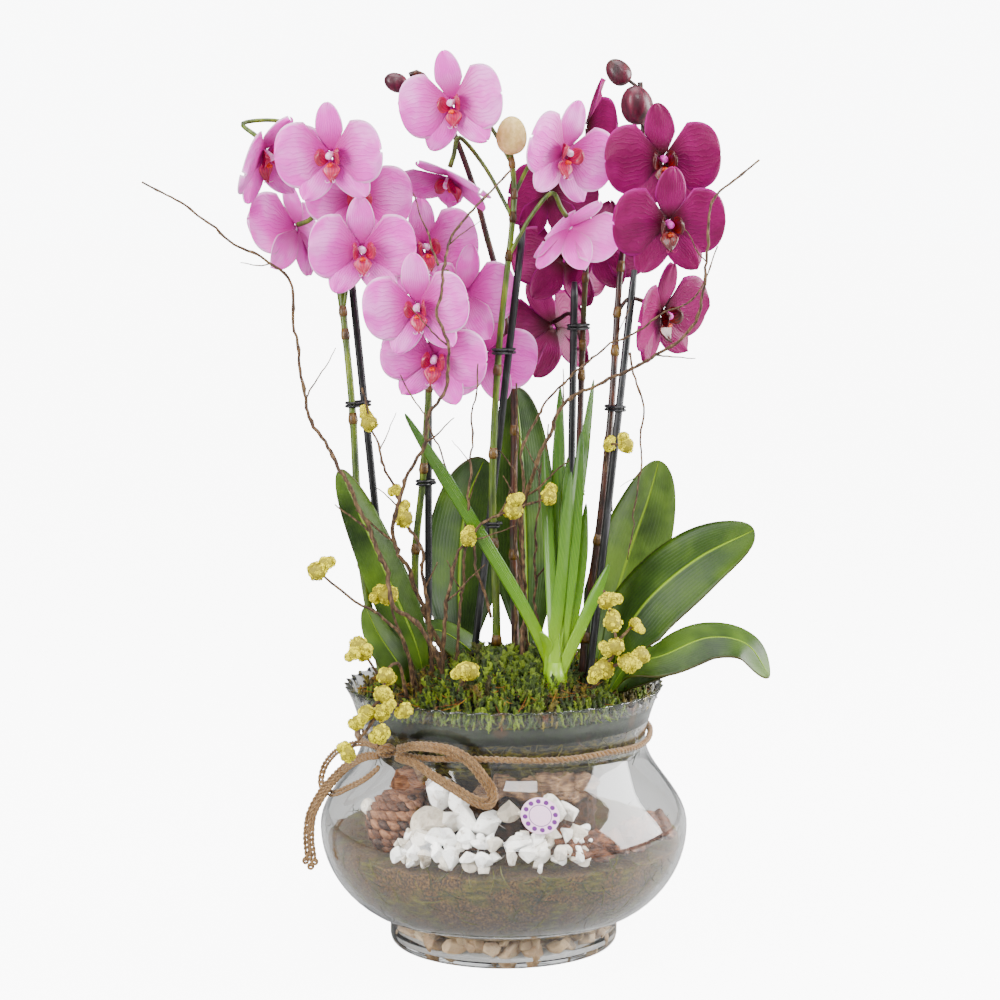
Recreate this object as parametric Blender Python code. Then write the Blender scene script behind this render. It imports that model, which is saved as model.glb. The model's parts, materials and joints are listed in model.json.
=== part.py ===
"""Moth orchids planted in a footed glass bowl, with moss, stones, twigs and a twine bow.

Run it with: blender --background --python part.py
Metres, +Z up. The origin is the centre of the bowl's underside. The front of the bowl faces -Y.
Each sub-part is one object, and its name is the sub-part's name.
"""

import math

import bmesh
import bpy
from mathutils import Matrix, Vector, noise

# ---- driving dimensions, in metres --------------------------------------------------------------

# glass bowl, outside sizes
FOOT_RADIUS = 0.092
FOOT_HEIGHT = 0.024
FOOT_EDGE = 0.006
FOOT_NECK_INSET = 0.003
BELLY_RADIUS = 0.148
BELLY_Z = 0.097
NECK_RADIUS = 0.114
NECK_Z = 0.168
RIM_FLARE = 0.013
BOWL_HEIGHT = 0.212
GLASS_WALL = 0.0032
GLASS_BASE = 0.005

# filling: how far each layer stands below or above a line of the bowl
PEBBLES_OVER_FOOT = 0.001
SOIL_BELOW_BELLY = 0.009
ROOT_BALL_BELOW_RIM = 0.019
CUSHION_OVER_RIM = 0.019
ROOT_BALL_GAP = 0.003
SOCKET_DEPTH = 0.028

# plants
PLANT_HEIGHT = 0.500
STEM_RADIUS = 0.0034
STAKE_RADIUS = 0.0030
PEDICEL_RADIUS = 0.0017
TWIG_RADIUS = 0.0021
LEAF_THICKNESS = 0.0024
PINK_FLOWER_WIDTH = 0.086
MAGENTA_FLOWER_WIDTH = 0.092
PETAL_THICKNESS = 0.0013

# fastenings
CLIP_BAND = 0.0016
CLIP_HEIGHT = 0.0045
TWINE_DIAMETER = 0.0052
BOW_DIAMETER = 0.0050

# clearances between pieces that touch
GAP = 0.0004
SOCKET_GAP = 0.0007

# The plants' routes below are drawn, above the rim, for a display this tall.
DRAWN_HEIGHT = 0.500
GROWTH = PLANT_HEIGHT / DRAWN_HEIGHT

# heights and radii that follow from those sizes
RIM_RADIUS = NECK_RADIUS + RIM_FLARE
PEBBLE_TOP_Z = FOOT_HEIGHT + PEBBLES_OVER_FOOT
SOIL_TOP_Z = BELLY_Z - SOIL_BELOW_BELLY
ROOT_BALL_TOP_Z = BOWL_HEIGHT - ROOT_BALL_BELOW_RIM
CUSHION_TOP_Z = BOWL_HEIGHT + CUSHION_OVER_RIM

ROUND_STEPS = 32

# ---- colours -------------------------------------------------------------------------------------

FINISHES = {
    "glass": ((0.90, 0.95, 0.94), 0.03, 0.0),
    "pebble": ((0.50, 0.44, 0.37), 0.70, 0.0),
    "soil": ((0.16, 0.13, 0.07), 0.95, 0.0),
    "moss": ((0.16, 0.22, 0.04), 0.95, 0.0),
    "white_stone": ((0.80, 0.79, 0.76), 0.60, 0.0),
    "cone": ((0.42, 0.20, 0.09), 0.75, 0.0),
    "bark": ((0.38, 0.19, 0.11), 0.85, 0.0),
    "tag": ((0.90, 0.83, 0.88), 0.50, 0.0),
    "twine": ((0.53, 0.37, 0.21), 0.90, 0.0),
    "green_stem": ((0.30, 0.38, 0.10), 0.45, 0.0),
    "dark_stem": ((0.13, 0.08, 0.06), 0.50, 0.0),
    "stake": ((0.02, 0.02, 0.02), 0.45, 0.0),
    "pink_petal": ((0.90, 0.66, 0.83), 0.45, 0.0),
    "magenta_petal": ((0.60, 0.02, 0.38), 0.45, 0.0),
    "orchid_leaf": ((0.12, 0.24, 0.04), 0.35, 0.0),
    "bulb_leaf": ((0.30, 0.50, 0.08), 0.40, 0.0),
    "twig": ((0.24, 0.13, 0.07), 0.80, 0.0),
    "sprig": ((0.85, 0.65, 0.03), 0.85, 0.0),
}


def clear_scene():
    for old in list(bpy.data.objects):
        bpy.data.objects.remove(old, do_unlink=True)


def finish_of(name):
    """The material of that name, made the first time it is asked for."""
    if name in bpy.data.materials:
        return bpy.data.materials[name]
    colour, roughness, metallic = FINISHES[name]
    made = bpy.data.materials.new(name)
    made.use_nodes = True
    shader = made.node_tree.nodes["Principled BSDF"]
    shader.inputs["Base Color"].default_value = (*colour, 1.0)
    shader.inputs["Roughness"].default_value = roughness
    shader.inputs["Metallic"].default_value = metallic
    return made


# ---- shape helpers -------------------------------------------------------------------------------


def add_object(name, bm, finish):
    """Turns a bmesh into a named object with its faces pointing out."""
    bmesh.ops.recalc_face_normals(bm, faces=bm.faces)
    mesh = bpy.data.meshes.new(name)
    bm.to_mesh(mesh)
    bm.free()
    mesh.materials.append(finish_of(finish))
    mesh.shade_smooth()
    mesh.set_sharp_from_angle(angle=math.radians(50))
    made = bpy.data.objects.new(name, mesh)
    bpy.context.scene.collection.objects.link(made)
    return made


def turned(profile, steps=ROUND_STEPS):
    """A solid turned about Z from a profile of (radius, z) points that starts and ends on the axis."""
    bm = bmesh.new()
    corners = [bm.verts.new((radius, 0, z)) for radius, z in profile]
    edges = [bm.edges.new(pair) for pair in zip(corners, corners[1:])]
    bmesh.ops.spin(bm, geom=corners + edges, axis=(0, 0, 1), cent=(0, 0, 0), steps=steps, angle=math.tau)
    bmesh.ops.remove_doubles(bm, verts=bm.verts, dist=1e-6)
    return bm


def smooth_route(points, per_span):
    """Points along a smooth curve through the given ones (Catmull-Rom)."""
    knots = [Vector(p) for p in points]
    knots = [2 * knots[0] - knots[1], *knots, 2 * knots[-1] - knots[-2]]
    route = []
    for a, b, c, d in zip(knots, knots[1:], knots[2:], knots[3:]):
        for step in range(per_span):
            t = step / per_span
            square = (2 * a - 5 * b + 4 * c - d) * t**2
            cube = (3 * b - a - 3 * c + d) * t**3
            route.append(0.5 * (2 * b + (c - a) * t + square + cube))
    return [*route, knots[-2]]


def directions(route):
    """The direction of travel at each point of a route."""
    ahead = [*route[1:], route[-1]]
    behind = [route[0], *route[:-1]]
    return [(a - b).normalized() for a, b in zip(ahead, behind)]


def loft(rings):
    """Closes a run of rings of points, all of the same length, into one solid."""
    bm = bmesh.new()
    rows = [[bm.verts.new(p) for p in ring] for ring in rings]
    for low, high in zip(rows, rows[1:]):
        for i in range(len(low)):
            j = (i + 1) % len(low)
            bm.faces.new((low[i], low[j], high[j], high[i]))
    bm.faces.new(rows[0][::-1])
    bm.faces.new(rows[-1])
    return bm


def tube(route, radii, sides=8):
    """A round solid along a route. radii is one radius, or one for each point."""
    if not isinstance(radii, (list, tuple)):
        radii = [radii] * len(route)
    curve = bpy.data.curves.new("tube", "CURVE")
    curve.dimensions = "3D"
    curve.bevel_depth = 1.0
    curve.bevel_resolution = sides // 2 - 2
    curve.use_fill_caps = True
    spline = curve.splines.new("POLY")
    spline.points.add(len(route) - 1)
    for knot, place, radius in zip(spline.points, route, radii):
        knot.co = (*place, 1.0)
        knot.radius = radius
    holder = bpy.data.objects.new("tube", curve)
    mesh = bpy.data.meshes.new_from_object(holder)
    bm = bmesh.new()
    bm.from_mesh(mesh)
    bmesh.ops.remove_doubles(bm, verts=bm.verts, dist=1e-6)
    bpy.data.objects.remove(holder, do_unlink=True)
    bpy.data.meshes.remove(mesh)
    return bm


def tapered(route, base, tip):
    """Radii that fall evenly from base to tip along a route."""
    last = len(route) - 1
    return [base + (tip - base) * i / last for i in range(last + 1)]


def ball(centre, size, detail=1):
    """An upright egg of three radii."""
    bm = bmesh.new()
    bmesh.ops.create_icosphere(bm, subdivisions=detail, radius=1.0)
    placing = Matrix.Translation(centre) @ Matrix.Diagonal((*size, 1.0))
    bmesh.ops.transform(bm, matrix=placing, verts=bm.verts)
    return bm


def combine(name, finish, first, others, operation="UNION"):
    """One object from a first bmesh and others joined to it, or cut from it, one after another."""
    made = add_object(name, first, finish)
    for index, bm in enumerate(others):
        tool = add_object(f"{name}_tool_{index}", bm, finish)
        step = made.modifiers.new("join", "BOOLEAN")
        step.operation = operation
        step.solver = "EXACT"
        step.object = tool
        graph = bpy.context.evaluated_depsgraph_get()
        solid = bpy.data.meshes.new_from_object(made.evaluated_get(graph))
        made.modifiers.clear()
        made.data = solid
        bpy.data.objects.remove(tool, do_unlink=True)
    made.data.name = name
    return made


# ---- glass bowl ----------------------------------------------------------------------------------


def outer_radius(z):
    """The bowl's outside radius at a height."""
    waist = FOOT_RADIUS - FOOT_NECK_INSET
    if z < FOOT_EDGE:
        return FOOT_RADIUS - FOOT_EDGE * (1 - math.sqrt(1 - (1 - z / FOOT_EDGE) ** 2))
    if z <= FOOT_HEIGHT:
        shoulder = FOOT_HEIGHT * 2 / 3
        return FOOT_RADIUS - FOOT_NECK_INSET * max(0.0, (z - shoulder) / (FOOT_HEIGHT - shoulder))
    if z <= BELLY_Z:
        lean = math.acos((BELLY_Z - z) / (BELLY_Z - FOOT_HEIGHT))
        return waist + (BELLY_RADIUS - waist) * math.sin(lean) ** 1.2
    if z <= NECK_Z:
        rise = (z - BELLY_Z) / (NECK_Z - BELLY_Z)
        return BELLY_RADIUS - (BELLY_RADIUS - NECK_RADIUS) * (1 - math.cos(math.pi * rise)) / 2
    flare = (z - NECK_Z) / (BOWL_HEIGHT - NECK_Z)
    return NECK_RADIUS + (RIM_RADIUS - NECK_RADIUS) * flare**1.4


def between(low, high, count):
    return [low + (high - low) * i / (count - 1) for i in range(count)]


def outside_profile():
    """(radius, z) points up the outside of the glass."""
    heights = [0.0, FOOT_EDGE / 3, FOOT_EDGE, FOOT_HEIGHT * 2 / 3, FOOT_HEIGHT]
    heights += between(FOOT_HEIGHT + 0.005, NECK_Z, 9)
    heights += between(NECK_Z, BOWL_HEIGHT, 4)[1:]
    return [(outer_radius(z), z) for z in heights]


def inside_profile():
    """(radius, z) points up the inside of the glass, from its floor to its rim."""
    outside = outside_profile()
    inside = []
    for (r0, z0), (r1, z1), (r2, z2) in zip(outside, outside[1:], outside[2:]):
        run = math.hypot(r2 - r0, z2 - z0)
        point = (r1 - GLASS_WALL * (z2 - z0) / run, z1 + GLASS_WALL * (r2 - r0) / run)
        if point[1] > GLASS_BASE + 0.001:
            inside.append(point)
    floor = (inside[0][0] - 0.003, GLASS_BASE)
    return [floor, *inside, (RIM_RADIUS - GLASS_WALL, BOWL_HEIGHT)]


def inner_radius(z):
    """The bowl's inside radius at a height."""
    profile = inside_profile()
    for (r0, z0), (r1, z1) in zip(profile, profile[1:]):
        if z0 <= z <= z1:
            return r0 + (r1 - r0) * (z - z0) / (z1 - z0)
    return profile[-1][0]


def make_bowl():
    add_object(
        "glass_bowl",
        turned([(0, 0), *outside_profile(), *inside_profile()[::-1], (0, GLASS_BASE)]),
        "glass",
    )


def wall_between(low, high, ease):
    """(radius, z) points that follow the inside of the glass between two heights, a little way in."""
    heights = [z for _, z in inside_profile() if low + GAP < z < high - GAP]
    return [(inner_radius(z) - ease, z) for z in (low, *heights, high)]


def filling(low, high, rough, seed):
    """A turned solid that fits inside the glass between two heights, with a lumpy top."""
    walls = wall_between(low, high, 2 * GAP)
    rim = walls[-1][0]
    top = [(rim * share, high) for share in (0.8, 0.5, 0.25)]
    bm = turned([(0, low), *walls, *top, (0, high)])
    for corner in bm.verts:
        if corner.co.z > high - GAP and math.hypot(corner.co.x, corner.co.y) < rim * 0.9:
            lump_here = noise.noise(Vector((corner.co.x * 40, corner.co.y * 40, seed)))
            corner.co.z -= rough * (0.5 + 0.5 * lump_here)
    return bm


# ---- planting plan -------------------------------------------------------------------------------

# Where each planted thing goes down through the moss: (x, y, radius of its foot) on a neck this wide.
DRAWN_NECK = 0.114
# the height of the moss above the rim on that display, and how high up the neck's width still tells
DRAWN_MOSS = 0.021
SPREAD_HEIGHT = 0.150
SURFACE_GAP = 0.002
PLANTING = {}


def foot_of(name, x, y, radius):
    """Books a socket for a planted thing, and returns the two lowest points of its route."""
    spread = NECK_RADIUS / DRAWN_NECK
    x, y = x * spread, y * spread
    PLANTING[name] = (x, y, radius)
    floor = ROOT_BALL_TOP_Z - SOCKET_DEPTH + GAP
    return [Vector((x, y, floor)), Vector((x, y, CUSHION_TOP_Z + SURFACE_GAP))]


def grown(x, y, height):
    """A point of a plant, from its place above the rim on a display of the drawn height."""
    above = height - DRAWN_MOSS
    share = min(1.0, max(0.0, above / SPREAD_HEIGHT))
    wide = NECK_RADIUS / DRAWN_NECK * (1 - share) + GROWTH * share
    return Vector((x * wide, y * wide, CUSHION_TOP_Z + SURFACE_GAP + above * (GROWTH if above > 0 else 1)))


def cut_sockets(name, finish, bm):
    """The solid with a hole for each planted thing."""
    sides = 6
    ends = (ROOT_BALL_TOP_Z - SOCKET_DEPTH, CUSHION_TOP_Z + 0.01)
    cutters = []
    for x, y, radius in PLANTING.values():
        around = (radius + SOCKET_GAP) / math.cos(math.pi / sides)
        cutters.append(tube([Vector((x, y, z)) for z in ends], around, sides))
    combine(name, finish, bm, cutters, "DIFFERENCE")


def make_filling():
    add_object("foot_pebbles", filling(GLASS_BASE + GAP, PEBBLE_TOP_Z, 0.003, seed=3), "pebble")
    add_object("soil_bed", filling(PEBBLE_TOP_Z + GAP, SOIL_TOP_Z, 0.004, seed=8), "soil")
    waist_z = SOIL_TOP_Z + GAP
    waist = root_ball_waist()
    core = [
        (0, waist_z),
        (waist, waist_z),
        (waist, NECK_Z - 0.018),
        *wall_between(NECK_Z - 0.006, ROOT_BALL_TOP_Z, 2 * GAP),
        (0, ROOT_BALL_TOP_Z),
    ]
    cut_sockets("root_ball", "moss", turned(core))
    low = ROOT_BALL_TOP_Z + GAP
    walls = wall_between(low, BOWL_HEIGHT - 0.004, 2 * GAP)
    edge = walls[-1][0]
    cushion = [
        (0, low),
        *walls,
        (edge * 0.86, BOWL_HEIGHT + 0.4 * CUSHION_OVER_RIM),
        (edge * 0.5, BOWL_HEIGHT + 0.9 * CUSHION_OVER_RIM),
        (0, CUSHION_TOP_Z),
    ]
    cut_sockets("moss_cushion", "moss", turned(cushion))


# ---- stones, cone, bark and tag ------------------------------------------------------------------


def lump(centre, size, seed, turn, rough):
    """A broken stone or a chip of bark: an egg whose surface is pushed in and out."""
    bm = ball((0, 0, 0), (1, 1, 1), detail=2)
    for corner in bm.verts:
        push = noise.noise(corner.co * 1.3 + Vector((seed, seed * 2.3, 0)))
        corner.co *= 1 + rough * push
    placing = Matrix.Translation(centre)
    for axis, angle in zip("XYZ", turn):
        placing = placing @ Matrix.Rotation(math.radians(angle), 4, axis)
    bmesh.ops.transform(bm, matrix=placing @ Matrix.Diagonal((*size, 1.0)), verts=bm.verts)
    return bm


def against_glass(angle, z, size):
    """Where the middle of a piece goes, so that it stands against the inside of the glass."""
    half_length, half_depth, half_height = size
    room = []
    for share in between(-1.0, 1.0, 9):
        narrowing = math.sqrt(1 - share**2)
        wall = inner_radius(z + share * half_height)
        room.append(math.sqrt(wall**2 - (half_length * narrowing) ** 2) - half_depth * narrowing)
    radius = min(room) - ORNAMENT_GAP
    turn = math.radians(angle)
    return Vector((radius * math.sin(turn), -radius * math.cos(turn), z))


# the loose pieces round the root ball: (angle round the bowl, height, half sizes along, into and up)
ORNAMENTS = {
    "white_stone_left": (-18, SOIL_TOP_Z + 0.026, (0.027, 0.013, 0.021)),
    "white_stone_right": (15, SOIL_TOP_Z + 0.022, (0.022, 0.012, 0.018)),
    "pine_cone": (-48, SOIL_TOP_Z + 0.031, (0.022, 0.022, 0.029)),
    "bark_chunk": (46, SOIL_TOP_Z + 0.016, (0.034, 0.013, 0.013)),
    "driftwood": (9, NECK_Z - 0.0275, (0.036, 0.006, 0.009)),
}
ORNAMENT_GAP = 0.0015
CONE_LEAN = 28


def root_ball_waist():
    """The root ball's radius below the neck, clear of every loose piece."""
    inner_sides = []
    for angle, z, size in ORNAMENTS.values():
        place = against_glass(angle, z, size)
        inner_sides.append(math.hypot(place.x, place.y) - size[1])
    return min(inner_sides) - ROOT_BALL_GAP


def make_lump(name, finish, seed, tilt=0, rough=0.22):
    angle, z, size = ORNAMENTS[name]
    centre = against_glass(angle, z, size)
    add_object(name, lump(centre, size, seed, turn=(0, tilt, angle), rough=rough), finish)


def make_cone():
    """An egg-shaped cone that leans on the glass."""
    angle, z, (width, _, half_height) = ORNAMENTS["pine_cone"]
    outline = [(0, -1.0), (0.58, -0.92), (0.95, -0.5), (0.95, 0.0), (0.7, 0.48), (0.33, 0.86), (0, 1.0)]
    cone = turned([(width * r, half_height * up) for r, up in outline], steps=14)
    centre = against_glass(angle, z, ORNAMENTS["pine_cone"][2])
    placing = Matrix.Translation(centre) @ Matrix.Rotation(math.radians(CONE_LEAN), 4, "Y")
    bmesh.ops.transform(cone, matrix=placing, verts=cone.verts)
    add_object("pine_cone", cone, "cone")


def make_ornaments():
    make_lump("white_stone_left", "white_stone", seed=4.0)
    make_lump("white_stone_right", "white_stone", seed=9.0)
    make_lump("bark_chunk", "bark", seed=5.0, tilt=-6, rough=0.2)
    make_lump("driftwood", "bark", seed=2.0, tilt=-6)
    make_cone()


TAG_RADIUS = 0.015
TAG_THICKNESS = 0.0008


def make_tag():
    """A plain round tag stuck on the outside of the shoulder."""
    angle = math.radians(12)
    z = BELLY_Z + 0.036
    slope = math.atan2(outer_radius(z - 0.002) - outer_radius(z + 0.002), 0.004)
    # the wall may rise above the plane that touches it at the tag's centre
    steps = [TAG_RADIUS * math.cos(slope) * step / 4 for step in range(-4, 5)]
    rise = max(outer_radius(z + dz) - outer_radius(z) + math.tan(slope) * dz for dz in steps)
    standoff = outer_radius(z) + rise + TAG_RADIUS**2 / (2 * BELLY_RADIUS) + GAP
    centre = Vector((standoff * math.sin(angle), -standoff * math.cos(angle), z))
    disc = bmesh.new()
    bmesh.ops.create_cone(
        disc,
        cap_ends=True,
        segments=24,
        radius1=TAG_RADIUS,
        radius2=TAG_RADIUS,
        depth=TAG_THICKNESS,
    )
    placing = Matrix.Translation(centre) @ Matrix.Rotation(angle, 4, "Z")
    placing = placing @ Matrix.Rotation(math.radians(90) - slope, 4, "X")
    bmesh.ops.transform(disc, matrix=placing, verts=disc.verts)
    add_object("round_tag", disc, "tag")


# ---- twine ---------------------------------------------------------------------------------------


def off_glass(angle, z, standoff):
    """A point outside the bowl, at an angle from straight ahead, a distance out from the glass."""
    radius = outer_radius(z) + standoff
    turn = math.radians(angle)
    return Vector((radius * math.sin(turn), -radius * math.cos(turn), z))


TWINE_Z = NECK_Z + 0.004
KNOT_ANGLE = -46
KNOT_RADIUS = 0.0075

# The free twine of the bow, as points along each stretch, from the knot.
BOW_ROUTES = {
    "twine_loop_right": [
        (-0.082, -0.095, 0.177), (-0.070, -0.107, 0.182), (-0.052, -0.117, 0.183), (-0.037, -0.121, 0.180),
        (-0.025, -0.121, 0.172), (-0.016, -0.123, 0.161), (-0.009, -0.126, 0.151), (-0.011, -0.131, 0.143),
        (-0.023, -0.129, 0.145), (-0.037, -0.122, 0.152), (-0.053, -0.115, 0.160), (-0.067, -0.107, 0.168),
        (-0.083, -0.096, 0.171),
    ],
    "twine_loop_left": [
        (-0.097, -0.079, 0.176), (-0.112, -0.064, 0.175), (-0.128, -0.041, 0.166), (-0.139, -0.025, 0.154),
        (-0.145, -0.020, 0.142), (-0.145, -0.028, 0.132), (-0.135, -0.044, 0.130), (-0.121, -0.059, 0.139),
        (-0.108, -0.070, 0.148), (-0.097, -0.078, 0.159),
    ],
    "twine_tails": [
        (-0.097, -0.080, 0.169), (-0.109, -0.068, 0.165), (-0.123, -0.055, 0.155), (-0.136, -0.048, 0.141),
        (-0.146, -0.046, 0.127), (-0.153, -0.045, 0.112), (-0.155, -0.044, 0.094), (-0.154, -0.041, 0.078),
        (-0.155, -0.039, 0.068),
    ],
}


def make_twine():
    half = TWINE_DIAMETER / 2
    ring = max(outer_radius(TWINE_Z - half), outer_radius(TWINE_Z + half)) + half + GAP
    collar = bmesh.new()
    circle = bmesh.ops.create_circle(collar, segments=6, radius=half)["verts"]
    placing = Matrix.Translation((ring, 0, TWINE_Z)) @ Matrix.Rotation(math.pi / 2, 4, "X")
    bmesh.ops.transform(collar, matrix=placing, verts=circle)
    around = {"axis": (0, 0, 1), "cent": (0, 0, 0), "steps": ROUND_STEPS, "angle": math.tau}
    bmesh.ops.spin(collar, geom=collar.verts[:] + collar.edges[:], **around)
    bmesh.ops.remove_doubles(collar, verts=collar.verts, dist=1e-6)
    knot_at = off_glass(KNOT_ANGLE, TWINE_Z, KNOT_RADIUS + 2 * GAP)
    knot = ball(knot_at, (KNOT_RADIUS, KNOT_RADIUS, KNOT_RADIUS * 0.9), detail=2)
    combine("twine_collar", "twine", collar, [knot])
    for name, points in BOW_ROUTES.items():
        add_cord(name, smooth_route(points, per_span=2), BOW_DIAMETER)


def add_cord(name, route, diameter):
    """A free stretch of twine, left as a curve."""
    curve = bpy.data.curves.new(name, "CURVE")
    curve.dimensions = "3D"
    curve.bevel_depth = diameter / 2
    curve.bevel_resolution = 2
    curve.use_fill_caps = True
    curve.materials.append(finish_of("twine"))
    spline = curve.splines.new("POLY")
    spline.points.add(len(route) - 1)
    for knot, place in zip(spline.points, route):
        knot.co = (*place, 1.0)
    made = bpy.data.objects.new(name, curve)
    bpy.context.scene.collection.objects.link(made)


# ---- flowers -------------------------------------------------------------------------------------

# (x, y, height above the rim), (turn to the right, nod down, roll) in degrees, cup as a share of the width
PINK_FLOWERS = {
    "left_flower_1": ((-0.132, -0.068, 0.419), (-12, 10, 4), 0.05),
    "left_flower_2": ((-0.113, -0.030, 0.388), (10, 8, -4), 0.05),
    "left_flower_3": ((-0.109, -0.054, 0.347), (10, 6, 2), 0.05),
    "left_flower_4": ((-0.186, -0.030, 0.425), (48, 34, 10), 0.28),
    "left_flower_5": ((-0.166, 0.016, 0.362), (-128, 14, 10), 0.14),
    "middle_flower_1": ((-0.067, -0.062, 0.304), (-8, 8, 6), 0.05),
    "middle_flower_2": ((-0.054, -0.042, 0.263), (-6, 14, -8), 0.05),
    "middle_flower_3": ((-0.030, 0.014, 0.310), (152, 12, 0), 0.08),
    "middle_flower_4": ((-0.014, 0.020, 0.262), (160, 16, 6), 0.08),
    "centre_flower_1": ((-0.039, -0.034, 0.459), (-16, 4, 10), 0.08),
    "centre_flower_2": ((-0.043, -0.012, 0.404), (-38, 62, 0), 0.16),
    "centre_flower_3": ((0.048, -0.036, 0.421), (34, 4, -14), 0.08),
    "centre_flower_4": ((0.050, -0.012, 0.366), (140, 44, 0), 0.22),
}
MAGENTA_FLOWERS = {
    "right_flower_1": ((0.122, -0.036, 0.415), (4, 4, 4), 0.04),
    "right_flower_2": ((0.125, -0.062, 0.367), (12, 12, 2), 0.04),
    "right_flower_3": ((0.127, 0.015, 0.296), (48, 14, 8), 0.12),
    "right_flower_4": ((0.040, 0.074, 0.282), (-150, 18, -12), 0.16),
    "right_flower_5": ((0.074, 0.052, 0.352), (150, 28, 0), 0.16),
}
# each lobe: the way it points, its length as a share of half the width, and its half-spread
LOBES = [(4, 1.0, 60), (176, 1.0, 60), (90, 0.96, 32), (234, 0.94, 32), (306, 0.94, 32)]
OUTLINE_STEPS = 30
THROAT_RADIUS = 0.09
NOSE_LENGTH = 0.16
BACK_DEPTH = 0.05


def lobe_reach(angle):
    """How far the flower's outline is from its middle in one direction, as a share of half the width."""
    reach = 0.24
    for centre, length, spread in LOBES:
        away = abs((angle - centre + 180) % 360 - 180)
        if away < spread:
            reach = max(reach, length * math.cos(math.pi / 2 * away / spread) ** 0.42)
    return reach


def flower_placing(place, facing):
    turn, nod, roll = (math.radians(a) for a in facing)
    return (
        Matrix.Translation(grown(*place))
        @ Matrix.Rotation(turn, 4, "Z")
        @ Matrix.Rotation(math.pi / 2 + nod, 4, "X")
        @ Matrix.Rotation(roll, 4, "Z")
    )


def flower_solid(width, cup):
    """A five-lobed flower facing +Z, with its lip standing out of the throat."""
    bm = bmesh.new()
    turns = [math.tau * i / OUTLINE_STEPS for i in range(OUTLINE_STEPS)]
    front, back, throat = [], [], []
    for turn in turns:
        reach = lobe_reach(math.degrees(turn)) * width / 2
        rise = cup * width * (2 * reach / width) ** 2
        across = Vector((math.cos(turn), math.sin(turn), 0))
        front.append(bm.verts.new(across * reach + Vector((0, 0, rise + PETAL_THICKNESS / 2))))
        back.append(bm.verts.new(across * reach + Vector((0, 0, rise - PETAL_THICKNESS / 2))))
        throat.append(bm.verts.new(across * THROAT_RADIUS * width))
    nose = bm.verts.new((0, -0.07 * width, NOSE_LENGTH * width))
    hub = bm.verts.new((0, 0, -BACK_DEPTH * width))
    for i in range(OUTLINE_STEPS):
        j = (i + 1) % OUTLINE_STEPS
        bm.faces.new((nose, throat[i], throat[j]))
        bm.faces.new((throat[i], front[i], front[j], throat[j]))
        bm.faces.new((front[i], back[i], back[j], front[j]))
        bm.faces.new((hub, back[j], back[i]))
    return bm


def width_of(name):
    return (PINK_FLOWER_WIDTH if name in PINK_FLOWERS else MAGENTA_FLOWER_WIDTH) * GROWTH


def hub_of(name):
    """The point just behind a flower where its stalk ends, and the way the stalk leaves it."""
    place, facing, _ = {**PINK_FLOWERS, **MAGENTA_FLOWERS}[name]
    placing = flower_placing(place, facing)
    back = -(placing.to_3x3() @ Vector((0, 0, 1)))
    return placing.translation + back * (BACK_DEPTH * width_of(name) + GAP + PEDICEL_RADIUS / 2), back


def make_flowers():
    for flowers, finish in ((PINK_FLOWERS, "pink_petal"), (MAGENTA_FLOWERS, "magenta_petal")):
        for name, (place, facing, cup) in flowers.items():
            made = add_object(name, flower_solid(width_of(name), cup), finish)
            made.matrix_world = flower_placing(place, facing)


# ---- flower stems, stakes and clips --------------------------------------------------------------

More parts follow.
